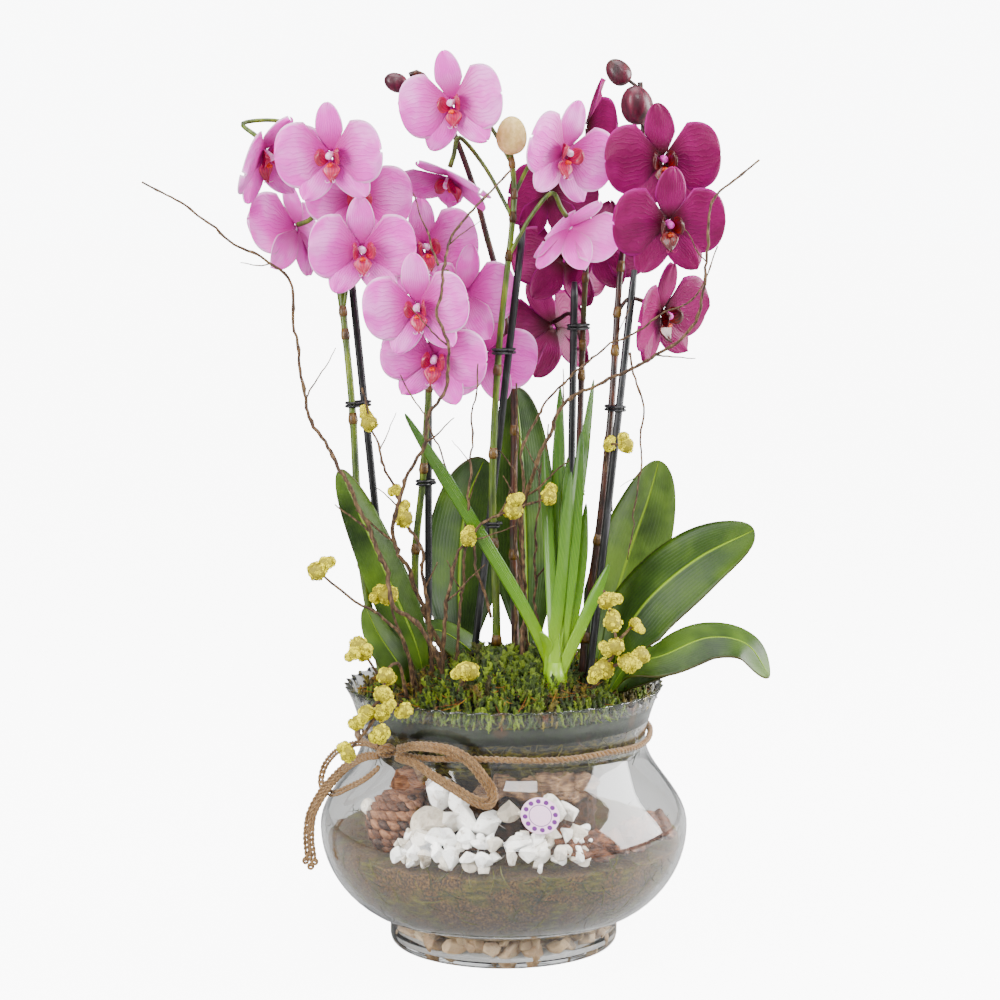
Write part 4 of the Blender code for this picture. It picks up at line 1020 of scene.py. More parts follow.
def makeWallFibres():
    # strands of moss pressed against the inside of the glass
    pick = random.Random(8)
    strand = [Vector((0.10 * math.sin(3 * t), 0.06 * math.cos(2.2 * t) - 0.06, t - 0.5)) for t in (0, 0.35, 0.7, 1.0)]
    template = asMesh(sweep(strand, [0.02, 0.032, 0.028, 0.01], sides=3))
    plans = []
    for i in range(filling["wallFibres"]):
        if pick.random() < 0.55:
            z = pick.uniform(0.036, filling["soilTop"] + 0.004)
        else:
            z = pick.uniform(0.158, 0.200)
        angle = pick.uniform(0, 360)
        spot = onGlass(angle, z, outerRadius(z) - innerRadius(z) + 0.0011)
        slope = math.atan2(outerRadius(z + 0.002) - outerRadius(z - 0.002), 0.004)
        lie = Matrix.Rotation(math.radians(angle), 4, "Z") @ Matrix.Rotation(slope, 4, "X")
        turn = Matrix.Rotation(pick.gauss(math.pi / 2, 0.9), 4, "Y")
        size = pick.uniform(0.008, 0.020)
        plans.append((Matrix.Translation(spot) @ lie @ turn @ Matrix.Scale(size, 4), pick.random()))
    fibres = mossFinish("wallMoss", "64622A", "46461C", "22220E", "54402A")
    piece("moss_strands_on_glass", scatter(template, plans), fibres, "moss")


makeFootPebbles()
makeSoil()
makeRootBall()
makeMoss()
makeWallFibres()
print("bowl filled")


# ---- ornaments on the soil, against the glass, in level rows:
# (height and size in millimetres, first and last angle in degrees, how many)
stoneRows = {
    "left": [
        (140, 18, -27, -16, 2),
        (125, 22, -28, -6, 4),
        (113, 14, -29, -3, 6),
        (101, 11, -35, -6, 7),
        (122, 13, -55, -55, 1),
    ],
    "right": [
        (130, 17, 3, 25, 4),
        (116, 14, 4, 27, 5),
        (103, 13, 2, 23, 5),
    ],
}
barkRows = {
    "bark_chunk": [(108, 21, 25, 68, 7)],
    "driftwood": [(150, 18, -6, 34, 6)],
}


def alongRow(row, pick):
    # each piece of a row: evenly apart, then shaken a little
    height, size, first, last, count = row
    for i in range(count):
        share = i / (count - 1) if count > 1 else 0
        angle = first + (last - first) * share + pick.uniform(-1.2, 1.2)
        yield angle, (height + pick.uniform(-4, 4)) * 0.001, size * pick.uniform(0.85, 1.2) * 0.00112


def againstWall(angle, z, size):
    return onGlass(angle, z, outerRadius(z) - innerRadius(z) + size * 0.5)


def makeOrnaments():
    stops = ((0.12, shade("9C9284")), (0.32, shade("D8D2C8")), (0.5, shade("F2F0EC")), (0.62, shade("FBFAF8")))
    quartz = stoneFinish("whiteStone", stops, "A79A88", 0.0014)
    shapes = [chip(s, cuts=11) for s in range(20, 26)]
    pick = random.Random(17)
    for side, rows in stoneRows.items():
        plans = []
        for angle, height, size in (stone for row in rows for stone in alongRow(row, pick)):
            place = againstWall(angle, height, size * 0.92)
            proportions = (size, size * pick.uniform(0.7, 0.95), size * pick.uniform(0.75, 1.1))
            plans.append((tumbled(place, proportions, pick), pick.random() * (1.0 if side == "left" else 0.55)))
        low, high = (-37, -3) if side == "left" else (2, 29)
        for i in range(34):
            size = pick.uniform(0.0075, 0.0125)
            place = againstWall(pick.uniform(low, high), pick.uniform(0.093, 0.121), size + pick.uniform(0.004, 0.012))
            plans.append((tumbled(place, (size, size * 0.8, size * 0.7), pick), pick.uniform(0.1, 0.8)))
        piece(f"white_stones_{side}", spread(shapes, plans), quartz, "white_stone", [f"white_stone_{side}"], flat=True)

    red = barkFinish("redBark", "1C120C", "4A3022", "7A5A46")
    grey = barkFinish("driftBark", "1E140E", "5A4636", "907A64")
    flakes = [chip(s, cuts=6, flatness=0.5) for s in range(30, 34)]
    for name, finish in (("bark_chunk", red), ("driftwood", grey)):
        plans = []
        for angle, height, size in (flake for row in barkRows[name] for flake in alongRow(row, pick)):
            place = againstWall(angle, height, size * 0.75)
            lie = Matrix.Rotation(math.radians(angle), 4, "Z") @ Matrix.Rotation(pick.uniform(-0.5, 0.5), 4, "Y")
            lie = lie @ Matrix.Rotation(pick.uniform(0.7, 1.4), 4, "X")
            sizes = Matrix.Diagonal((size * 1.25, size * 0.9, size * 0.9, 1))
            plans.append((Matrix.Translation(place) @ lie @ sizes, pick.random()))
        bm = spread(flakes, plans)
        bmesh.ops.subdivide_edges(bm, edges=bm.edges, cuts=3, use_grid_fill=True)
        rough(bm, 0.0016, 0.004, 3.0)
        piece(f"{name}_flakes", bm, finish, "bark", [name])

    # a block of warm bark and a cut stick behind the bow
    bm = join([scatter(flakes[0], [(Matrix.Translation(againstWall(-43, 0.150, 0.026)) @ Matrix.Rotation(0.75, 4, "Z") @ Matrix.Diagonal((0.036, 0.030, 0.046, 1)), 0.5)])])
    bmesh.ops.subdivide_edges(bm, edges=bm.edges, cuts=4, use_grid_fill=True)
    rough(bm, 0.001, 0.005, 6.0)
    piece("bark_block", bm, barkFinish("warmBark", "2C1C12", "684A36", "967660"), "bark")
    top, foot = againstWall(-39.5, 0.163, 0.010), againstWall(-33.5, 0.150, 0.012)
    stick = sweep(evenRoute([top, foot], 0.002), 0.0036, sides=12)
    rough(stick, 0.0004, 0.003)
    piece("cut_stick", stick, grey, "bark")


# ---- pine cone: overlapping scales round a leaning core
coneShape = {"scales": 120, "length": 0.054, "width": 0.047, "lean": 28, "scaleWide": 0.0135, "scaleTall": 0.0105}


def makeCone():
    centre = middleOf("pine_cone")
    placing = Matrix.Translation(centre) @ Matrix.Rotation(math.radians(coneShape["lean"]), 4, "Y")
    scale = bmesh.new()
    bmesh.ops.create_uvsphere(scale, u_segments=10, v_segments=6, radius=0.5)
    for vert in scale.verts:
        # a lozenge with a ridge across its thick outer end
        vert.co.x *= 1.0 - 0.35 * abs(vert.co.z) * 2
        ridge = max(0.0, 1 - abs(vert.co.z) * 5)
        if vert.co.y > 0:
            vert.co.y += 0.16 * ridge * (1 - 1.6 * abs(vert.co.x))
    template = asMesh(scale)
    plans = []
    pick = random.Random(23)
    count = coneShape["scales"]
    for i in range(count):
        t = (i + 0.5) / count
        height = (t - 0.5) * coneShape["length"]
        girth = coneShape["width"] / 2 * math.sin(math.pi * (0.10 + 0.86 * t)) ** 0.62 * (1.12 - 0.3 * t)
        around = 2.39996 * i
        grow = 0.55 + 0.5 * math.sin(math.pi * (0.1 + 0.8 * t))
        out = Matrix.Rotation(around, 4, "Z") @ Matrix.Translation((0, girth - 0.0035, height))
        lift = Matrix.Rotation(0.55 - 0.9 * t + pick.uniform(-0.06, 0.06), 4, "X")
        size = Matrix.Diagonal((coneShape["scaleWide"] * grow, 0.011, coneShape["scaleTall"] * 0.72 * grow, 1))
        plans.append((placing @ out @ lift @ size, pick.random()))
    core = bmesh.new()
    bmesh.ops.create_uvsphere(core, u_segments=24, v_segments=14, radius=1.0)
    body = placing @ Matrix.Diagonal((coneShape["width"] * 0.40, coneShape["width"] * 0.40, coneShape["length"] * 0.46, 1))
    bmesh.ops.transform(core, matrix=body, verts=core.verts)
    cone = Finish("pineCone", 0.7)
    grain = cone.cloud(0.0022, 4.0)
    warm = cone.ramp(grain * 0.6 + cone.tone() * 0.4, (0.3, shade("33200F")), (0.5, shade("644632")), (0.75, shade("957660")))
    cone.set("Base Color", warm)
    cone.bump(grain, 0.0006)
    dark = Finish("coneCore", 0.9)
    dark.set("Base Color", dark.ramp(dark.cloud(0.003), (0.3, shade("1A0C06")), (0.7, shade("3A1C0E"))))
    bm = join([(scatter(template, plans), 0), (core, 1)])
    piece("pine_cone_scales", bm, [cone, dark], "pine_cone", ["pine_cone"])


# ---- the round tag on the shoulder: plain, with a ring of dots
def makeTag():
    node = frame["nodes"]["round_tag"]
    low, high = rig.box("round_tag")
    centre = (low + high) / 2
    outward = Vector((math.sin(math.radians(12)), -math.cos(math.radians(12)), 0))
    slope = math.atan2(outerRadius(centre.z - 0.002) - outerRadius(centre.z + 0.002), 0.004)
    lie = Matrix.Translation(centre) @ Matrix.Rotation(math.radians(12), 4, "Z")
    lie = lie @ Matrix.Rotation(math.pi / 2 - slope, 4, "X")
    disc = bmesh.new()
    bmesh.ops.create_cone(disc, cap_ends=True, segments=64, radius1=0.015, radius2=0.015, depth=0.0008)
    worn = {"affect": "EDGES", "segments": 2, "profile": 0.5, "material": -1}
    bmesh.ops.bevel(disc, geom=disc.edges[:], offset=0.0002, **worn)
    dots = []
    for i in range(12):
        angle = math.tau * i / 12
        dot = bmesh.new()
        bmesh.ops.create_uvsphere(dot, u_segments=12, v_segments=6, radius=1.0)
        spot = Matrix.Translation((0.0118 * math.cos(angle), 0.0118 * math.sin(angle), 0.0004))
        size = Matrix.Diagonal((0.0020, 0.0020, 0.00016, 1))
        bmesh.ops.transform(dot, matrix=spot @ size, verts=dot.verts)
        dots.append((dot, 1))
    band = bmesh.new()
    bmesh.ops.create_circle(band, segments=64, radius=0.0084)
    ring = band.edges[:]
    bmesh.ops.translate(band, vec=(0, 0, 0.00045), verts=band.verts)
    outer = bmesh.ops.extrude_edge_only(band, edges=ring)["geom"]
    bmesh.ops.scale(band, vec=(1.07, 1.07, 1), verts=[g for g in outer if isinstance(g, bmesh.types.BMVert)])
    bm = join([(disc, 0), (band, 1), *dots])
    bmesh.ops.transform(bm, matrix=lie, verts=bm.verts)
    paper = Finish("tagPaper", 0.45)
    paper.set("Base Color", paper.blend(shade("F1DCEB"), shade("E9CFE2"), paper.cloud(0.004)))
    paper.bump(paper.cloud(0.0008), 0.00005)
    ink = Finish("tagInk", 0.5)
    ink.set("Base Color", ink.blend(shade("7A2A86"), shade("5E1D6C"), ink.cloud(0.002)))
    piece("plain_round_tag", bm, [paper, ink], "tag", ["round_tag"])


makeOrnaments()
makeCone()
makeTag()
print("ornaments laid")

# ---- flowers
flower = {
    "rows": 20,
    "columns": 14,
    "thickness": 0.0007,
    "petal": {"length": 0.50, "width": 0.60, "claw": 0.34, "belly": 1.10, "round": 2.3, "cup": 0.02},
    "top": {"length": 0.47, "width": 0.27, "claw": 0.55, "belly": 0.96, "round": 1.9, "cup": -0.02},
    "low": {"length": 0.47, "width": 0.31, "claw": 0.55, "belly": 0.92, "round": 1.85, "cup": 0.02},
}

# the way each flower faces: turned to the right, nodding down, rolled, in degrees, then how far it is cupped
facings = {
    "left_flower_1": (-12, 10, 4, 0.05),
    "left_flower_2": (10, 8, -4, 0.05),
    "left_flower_3": (10, 6, 2, 0.05),
    "left_flower_4": (48, 34, 10, 0.28),
    "left_flower_5": (-128, 14, 10, 0.14),
    "middle_flower_1": (-8, 8, 6, 0.05),
    "middle_flower_2": (-6, 14, -8, 0.05),
    "middle_flower_3": (152, 12, 0, 0.08),
    "middle_flower_4": (160, 16, 6, 0.08),
    "centre_flower_1": (-16, 4, 10, 0.08),
    "centre_flower_2": (-38, 62, 0, 0.16),
    "centre_flower_3": (34, 4, -14, 0.08),
    "centre_flower_4": (140, 44, 0, 0.22),
    "right_flower_1": (4, 4, 4, 0.04),
    "right_flower_2": (12, 12, 2, 0.04),
    "right_flower_3": (48, 14, 8, 0.12),
    "right_flower_4": (-150, 18, -12, 0.16),
    "right_flower_5": (150, 28, 0, 0.16),
}


def petalFinish(name, colours):
    petal = Finish(name, 0.42)
    parts = petal.along()[0]
    run = parts
    across = Signal(petal, parts.socket.node.outputs[1])
    # veins fan out from the claw and fade towards the tip
    sway = petal.cloud(0.012, 2.0) * 0.24
    middle = across - 0.5
    fan = (middle * (1.35 - run * 0.55) + sway) * 74.0
    lines = petal.node("ShaderNodeMath", {"operation": "SINE"}, {0: fan})
    veins = petal.fade(lines, 0.35, 1.0) * petal.fade(run, 1.0, 0.25)
    patches = petal.fade(petal.cloud(0.02, 2.0), 0.35, 0.7)
    body = petal.blend(shade(colours["body"]), shade(colours["second"]), patches)
    rim = petal.node("ShaderNodeMath", {"operation": "ABSOLUTE"}, {0: middle})
    edge = petal.fade(rim * 2.0, 0.88, 1.0)
    tip = petal.fade(run, 0.93, 1.0)
    edges = petal.node("ShaderNodeMath", {"operation": "MAXIMUM"}, {0: edge, 1: tip})
    body = petal.blend(body, shade(colours["edge"]), edges * colours["edging"])
    body = petal.blend(body, shade(colours["vein"]), veins * colours["veining"])
    body = petal.blend(body, shade(colours["heart"]), petal.fade(run, colours["flush"], 0.02))
    petal.set("Base Color", body)
    grain = petal.cloud(0.0009, 2.0)
    petal.bump(veins * 0.5 + grain * 0.35, 0.0004)
    petal.set("Subsurface Weight", 0.12)
    petal.set("Subsurface Radius", (0.004, 0.002, 0.003))
    petal.set("Specular IOR Level", colours["gloss"])
    return petal


def lipFinish(name, outer, inner, stripe):
    lip = Finish(name, 0.38)
    run = lip.along()[0]
    across = Signal(lip, run.socket.node.outputs[1])
    speckle = lip.cloud(0.0016, 3.0)
    base = lip.blend(shade(inner), shade(outer), lip.fade(run + speckle * 0.3, 0.25, 0.62))
    lines = lip.node("ShaderNodeMath", {"operation": "SINE"}, {0: across * 38.0})
    lip.set("Base Color", lip.blend(base, shade(stripe), lip.fade(lines, 0.4, 1.0) * lip.fade(run, 0.7, 0.1)))
    lip.bump(speckle, 0.0003)
    lip.set("Coat Weight", 0.25)
    return lip


def plainFinish(name, first, second, roughness=0.45):
    plain = Finish(name, roughness)
    plain.set("Base Color", plain.blend(shade(first), shade(second), plain.fade(plain.cloud(0.003), 0.35, 0.65)))
    plain.bump(plain.cloud(0.001), 0.0002)
    return plain


def blade(plan, width, pick, rows=None, columns=None):
    # one petal along +Y from its claw, its face to +Z: a grid drawn in to the petal's outline
    rows, columns = rows or flower["rows"], columns or flower["columns"]
    bm = bmesh.new()
    bm.loops.layers.uv.new("UVMap")
    turned = Matrix.Rotation(math.pi / 2, 4, "Z")
    bmesh.ops.create_grid(bm, x_segments=rows, y_segments=columns, size=0.5, calc_uvs=True)
    length, half = plan["length"] * width, plan["width"] * width / 2
    phase, phase2 = pick.uniform(0, 6), pick.uniform(0, 6)
    for vert in bm.verts:
        share, side = vert.co.x + 0.5, 2 * vert.co.y
        share = 1 - (1 - share) ** 1.9
        swell = abs(2 * min(1.0, max(0.0, share)) ** plan["belly"] - 1)
        girth = max(0.0, 1 - swell ** plan["round"]) ** (1 / plan["round"])
        narrow = plan["claw"] + (1 - plan["claw"]) * min(1.0, share / 0.42) ** 1.2
        reach = half * max(girth * narrow, 0.05)
        x = side * reach
        y = length * share
        rise = plan["cup"] * width * (share**2) - 0.035 * width * side * side * share
        rise += 0.010 * width * share * math.sin(3.1 * side + phase) * side * side
        rise += 0.007 * width * share**2 * math.sin(7.0 * side + 4 * share + phase2)
        rise += plan.get("keel", 0) * width * (1 - abs(side)) * share * (1 - share)
        vert.co = Vector((x, y, rise))
    bmesh.ops.solidify(bm, geom=bm.faces[:], thickness=flower["thickness"])
    bmesh.ops.recalc_face_normals(bm, faces=bm.faces)
    return bm


def aimed(bm, base, angle, lift, roll=0.0):
    # turns a petal made along +Y to lie at an angle in the flower's face, tipped forward by lift
    turn = Matrix.Rotation(math.radians(angle - 90), 4, "Z") @ Matrix.Rotation(lift, 4, "X")
    bmesh.ops.transform(bm, matrix=Matrix.Translation(base) @ turn @ Matrix.Rotation(roll, 4, "Y"), verts=bm.verts)
    return bm


def lipParts(width, pick):
    w = width
    parts = []
    side = {"length": 0.165, "width": 0.170, "claw": 0.5, "belly": 1.0, "round": 2.0, "cup": 0.035}
    for sign in (-1, 1):
        lobe = blade(side, w, pick, 10, 9)
        curl = Matrix.Rotation(-sign * 0.9, 4, "Y")
        bmesh.ops.transform(lobe, matrix=curl, verts=lobe.verts)
        lean = Matrix.Rotation(-sign * 0.62, 4, "Z") @ Matrix.Rotation(0.75, 4, "X")
        place = Matrix.Translation((sign * 0.028 * w, -0.062 * w, 0.03 * w))
        bmesh.ops.transform(lobe, matrix=place @ lean, verts=lobe.verts)
        parts.append((lobe, 1))
    front = {"length": 0.195, "width": 0.190, "claw": 0.6, "belly": 0.62, "round": 1.25, "cup": 0.05, "keel": -0.05}
    tongue = blade(front, w, pick, 14, 11)
    lie = Matrix.Translation((0, -0.060 * w, 0.045 * w)) @ Matrix.Rotation(math.pi, 4, "Z") @ Matrix.Rotation(0.30, 4, "X")
    bmesh.ops.transform(tongue, matrix=lie, verts=tongue.verts)
    parts.append((tongue, 1))
    for sign in (-1, 1):
        curl = [Vector((sign * 0.004 * w, -0.212 * w, 0.115 * w)), Vector((sign * 0.020 * w, -0.238 * w, 0.120 * w))]
        curl += [Vector((sign * 0.040 * w, -0.235 * w, 0.135 * w)), Vector((sign * 0.048 * w, -0.212 * w, 0.148 * w))]
        line = smoothRoute(curl, 4)
        parts.append((sweep(line, [0.006 * w * (1 - 0.6 * i / len(line)) for i in range(len(line))], sides=6), 2))
    for x, z, size in ((-0.012, 0.098, 0.017), (0.012, 0.098, 0.017), (0, 0.080, 0.022)):
        lump = bmesh.new()
        bmesh.ops.create_uvsphere(lump, u_segments=10, v_segments=8, radius=size * w)
        bmesh.ops.translate(lump, vec=(x * w, -0.088 * w, z * w), verts=lump.verts)
        parts.append((lump, 3))
    column = [Vector((0, 0, 0)), Vector((0, 0.004 * w, 0.045 * w)), Vector((0, -0.004 * w, 0.085 * w))]
    column.append(Vector((0, -0.020 * w, 0.112 * w)))
    line = smoothRoute(column, 4)
    sizes = [0.030, 0.028, 0.026, 0.026, 0.027, 0.029, 0.031, 0.033, 0.034, 0.034, 0.031, 0.026, 0.014]
    parts.append((sweep(line, [s * w for s in sizes], sides=14), 4))
    return parts


def makeFlower(name, facing, width, finishes, slot, seed, nodes, centre=None, slim=False):
    pick = random.Random(seed)
    turn, nod, roll, cup = facing
    lift = 0.10 + 1.6 * cup
    parts = []
    for angle, base, plan, tip in (
        (90, (0, 0.02, -0.012), flower["top"], 0.05),
        (236, (-0.015, -0.02, -0.010), flower["low"], 0.06),
        (304, (0.015, -0.02, -0.010), flower["low"], 0.06),
        (178, (-0.012, 0.01, 0.0), flower["petal"], 0.0),
        (2, (0.012, 0.01, 0.002), flower["petal"], 0.0),
    ):
        made = blade(plan, width * pick.uniform(0.97, 1.03), pick)
        spot = Vector(base) * width
        aimed(made, spot, angle + pick.uniform(-4, 4), lift - tip + pick.uniform(-0.05, 0.05), pick.uniform(-0.06, 0.06))
        parts.append((made, 0))
    parts += lipParts(width, pick)
    bm = join(parts)
    turned = (
        Matrix.Rotation(math.radians(turn), 4, "Z")
        @ Matrix.Rotation(math.pi / 2 + math.radians(nod), 4, "X")
        @ Matrix.Rotation(math.radians(roll), 4, "Z")
    )
    bmesh.ops.transform(bm, matrix=turned, verts=bm.verts)
    low = Vector([min(v.co[k] for v in bm.verts) for k in range(3)])
    high = Vector([max(v.co[k] for v in bm.verts) for k in range(3)])
    if nodes:
        cadLow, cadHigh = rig.box(nodes[0])
        ratio = (cadHigh - cadLow).length / (high - low).length
        centre = (cadLow + cadHigh) / 2
    else:
        ratio = 1.0
    seat = Matrix.Translation(centre) @ Matrix.Scale(ratio, 4) @ Matrix.Translation(-(low + high) / 2)
    bmesh.ops.transform(bm, matrix=seat, verts=bm.verts)
    return piece(f"{name}_bloom", bm, finishes, slot, nodes)


def makeFlowers():
    pinkColours = {"body": "E884D2", "second": "F2AEE4", "edge": "FBE4F6", "vein": "C85CB2", "heart": "B40C94"}
    pinkColours.update({"edging": 0.7, "veining": 0.26, "flush": 0.46, "gloss": 0.4})
    plumColours = {"body": "7A0058", "second": "8A0068", "edge": "AE1E96", "vein": "600044", "heart": "4C0024"}
    plumColours.update({"edging": 0.5, "veining": 0.18, "flush": 0.22, "gloss": 0.2})
    pink = [
        petalFinish("pinkPetal", pinkColours),
        lipFinish("pinkLip", "9C0054", "B40078", "D8506C"),
        plainFinish("pinkTendril", "F6DCEE", "E8A8D0"),
        plainFinish("pinkCallus", "E8801C", "C43A20"),
        plainFinish("pinkColumn", "F8E4F2", "E4A2D4"),
    ]
    plum = [
        petalFinish("plumPetal", plumColours),
        lipFinish("plumLip", "4C0012", "6C0028", "903010"),
        plainFinish("plumTendril", "B03078", "8C1460"),
        plainFinish("plumCallus", "A83A18", "C87A30"),
        plainFinish("plumColumn", "C83CA8", "E088CC"),
    ]
    for seed, (name, facing) in enumerate(facings.items()):
        isPlum = name.startswith("right")
        width = 0.092 if isPlum else 0.086
        finishes, slot = (plum, "magenta_petal") if isPlum else (pink, "pink_petal")
        makeFlower(name, facing, width, finishes, slot, seed + 1, [name])
    # flowers that show only as edges behind the others: (facing, centre, colour)
    for name, facing, centre, isPlum in (
        ("behind_middle", (20, 0, 8, 0.1), (-0.061, 0.030, 0.560), False),
        ("behind_right_1", (150, 10, 0, 0.1), (0.040, 0.066, 0.602), True),
        ("behind_right_2", (-160, 16, 10, 0.1), (0.046, 0.060, 0.548), True),
        ("behind_right_3", (96, 6, 8, 0.2), (0.078, 0.040, 0.655), True),
    ):
        finishes, slot = (plum, "magenta_petal") if isPlum else (pink, "pink_petal")
        makeFlower(name, facing, 0.084, finishes, slot, len(name) + int(centre[2] * 997), [], Vector(centre))


makeFlowers()
print("flowers open")

# ---- stems: foot on the moss, then heights above the rim; blooms and buds leave at a share of the way up
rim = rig.box("glass_bowl")[1].z
stems = {
    "left_stem": {
        "green": True,
        "route": [
            (-0.096, -0.022, 0.004), (-0.112, -0.028, 0.102), (-0.119, -0.026, 0.225), (-0.129, -0.014, 0.336),
            (-0.126, 0.004, 0.385), (-0.126, 0.008, 0.412), (-0.140, 0.010, 0.434), (-0.166, 0.002, 0.441),
        ],
        "blooms": {"left_flower_1": 0.86, "left_flower_2": 0.74, "left_flower_3": 0.64, "left_flower_4": 0.98, "left_flower_5": 0.60},
        "nodes": [0.10, 0.22, 0.34, 0.46],
    },
    "middle_stem": {
        "green": True,
        "route": [
            (-0.070, 0.010, 0.004), (-0.071, 0.006, 0.098), (-0.065, 0.004, 0.160), (-0.058, -0.004, 0.246),
            (-0.048, -0.010, 0.290), (-0.045, -0.014, 0.330),
        ],
        "blooms": {"middle_flower_1": 0.92, "middle_flower_2": 0.72, "middle_flower_3": 0.96, "middle_flower_4": 0.78},
        "nodes": [0.14, 0.33, 0.52],
    },
    "centre_stem": {
        "green": True,
        "route": [
            (-0.006, -0.006, 0.004), (-0.006, -0.010, 0.063), (-0.009, -0.010, 0.160), (-0.004, -0.014, 0.266),
            (0.006, -0.016, 0.360), (0.008, -0.016, 0.392), (0.005, -0.016, 0.424),
        ],
        "blooms": {"centre_flower_1": 0.97, "centre_flower_2": 0.88, "centre_flower_3": 0.92, "centre_flower_4": 0.80},
        "nodes": [0.10, 0.28, 0.45, 0.60, 0.80, 0.88],
    },
    "back_stem": {
        "green": False,
        "route": [
            (0.010, 0.052, 0.004), (0.008, 0.052, 0.120), (0.008, 0.052, 0.235), (-0.004, 0.048, 0.316),
            (-0.014, 0.044, 0.356), (-0.026, 0.036, 0.400), (-0.046, 0.026, 0.452), (-0.064, 0.016, 0.482),
            (-0.074, 0.012, 0.482),
        ],
        "blooms": {},
        "nodes": [0.2, 0.4, 0.6, 0.78, 0.9],
    },
    "right_inner_stem": {
        "green": False,
        "route": [
            (0.056, 0.022, 0.004), (0.059, 0.021, 0.110), (0.061, 0.020, 0.200), (0.064, 0.018, 0.300),
            (0.066, 0.016, 0.340),
        ],
        "blooms": {"right_flower_4": 0.80, "right_flower_5": 0.95},
        "nodes": [0.25, 0.5, 0.72],
    },
    "right_outer_stem": {
        "green": False,
        "route": [
            (0.062, -0.030, 0.004), (0.066, -0.030, 0.060), (0.076, -0.026, 0.133), (0.085, -0.018, 0.227),
            (0.092, -0.008, 0.333), (0.104, 0.010, 0.390), (0.110, 0.012, 0.440), (0.107, 0.008, 0.476),
        ],
        "blooms": {"right_flower_1": 0.90, "right_flower_2": 0.80, "right_flower_3": 0.62},
        "nodes": [0.10, 0.26, 0.42, 0.56, 0.7],
    },
}
# buds: (stem, share of the way up, place above the rim, length, colour)
buds = [
    ("centre_stem", 0.99, (0.006, -0.018, 0.434), 0.030, "cream"),
    ("back_stem", 0.90, (-0.069, 0.004, 0.470), 0.020, "wine"),
    ("back_stem", 0.95, (-0.085, 0.010, 0.476), 0.019, "wine"),
    ("back_stem", 0.97, (-0.078, 0.014, 0.461), 0.012, "wine"),
    ("back_stem", 0.86, (-0.060, 0.016, 0.462), 0.014, "wine"),
    ("right_outer_stem", 0.93, (0.104, -0.002, 0.458), 0.032, "wine"),
    ("right_outer_stem", 0.99, (0.090, 0.010, 0.484), 0.023, "wine"),
]
stemSizes = {"radius": 0.0034, "tip": 0.0021, "foot": 0.022, "stalk": 0.0016, "step": 0.006}


def aboveRim(place):
    return Vector((place[0], place[1], rim + place[2]))


def stemFinish(name, dark, middle, light, scar):
    skin = Finish(name, 0.45)
    streaks = skin.cloud(0.004, 3.0, stretch=(1.0, 1.0, 0.18))
    patches = skin.cloud(0.03, 2.0, stretch=(1.0, 1.0, 0.5))
    base = skin.ramp(streaks, (0.3, shade(dark)), (0.52, shade(middle)), (0.75, shade(light)))
    skin.set("Base Color", skin.blend(base, shade(scar), skin.fade(patches, 0.55, 0.75) * 0.6))
    skin.bump(streaks + skin.cloud(0.001) * 0.4, 0.0004)
    skin.set("Coat Weight", 0.15)
    return skin


def budShape(centre, length, way):
    # a plump bud with three shallow seams, along a direction
    bm = bmesh.new()
    bmesh.ops.create_uvsphere(bm, u_segments=24, v_segments=16, radius=0.5)
    for vert in bm.verts:
        angle = math.atan2(vert.co.y, vert.co.x)
        seam = 0.085 * max(0.0, math.cos(3 * angle)) ** 10
        plump = 0.80 * (1 - 0.22 * vert.co.z) * (1 - seam)
        vert.co.x *= plump
        vert.co.y *= plump
        vert.co.z *= 1.0 + 0.06 * math.sin(math.pi * (vert.co.z + 0.5))
    turn = way.to_track_quat("Z", "Y").to_matrix().to_4x4()
    bmesh.ops.transform(bm, matrix=Matrix.Translation(centre) @ turn @ Matrix.Scale(length, 4), verts=bm.verts)
    return bm


def backOf(name):
    # the point behind a flower where its stalk arrives, and the way it leaves
    turn, nod, roll, cup = facings[name]
    spin = Matrix.Rotation(math.radians(turn), 3, "Z") @ Matrix.Rotation(math.pi / 2 + math.radians(nod), 3, "X")
    back = -(spin @ Vector((0, 0, 1)))
    return middleOf(name) + back * (0.016 + 0.07 * cup), back


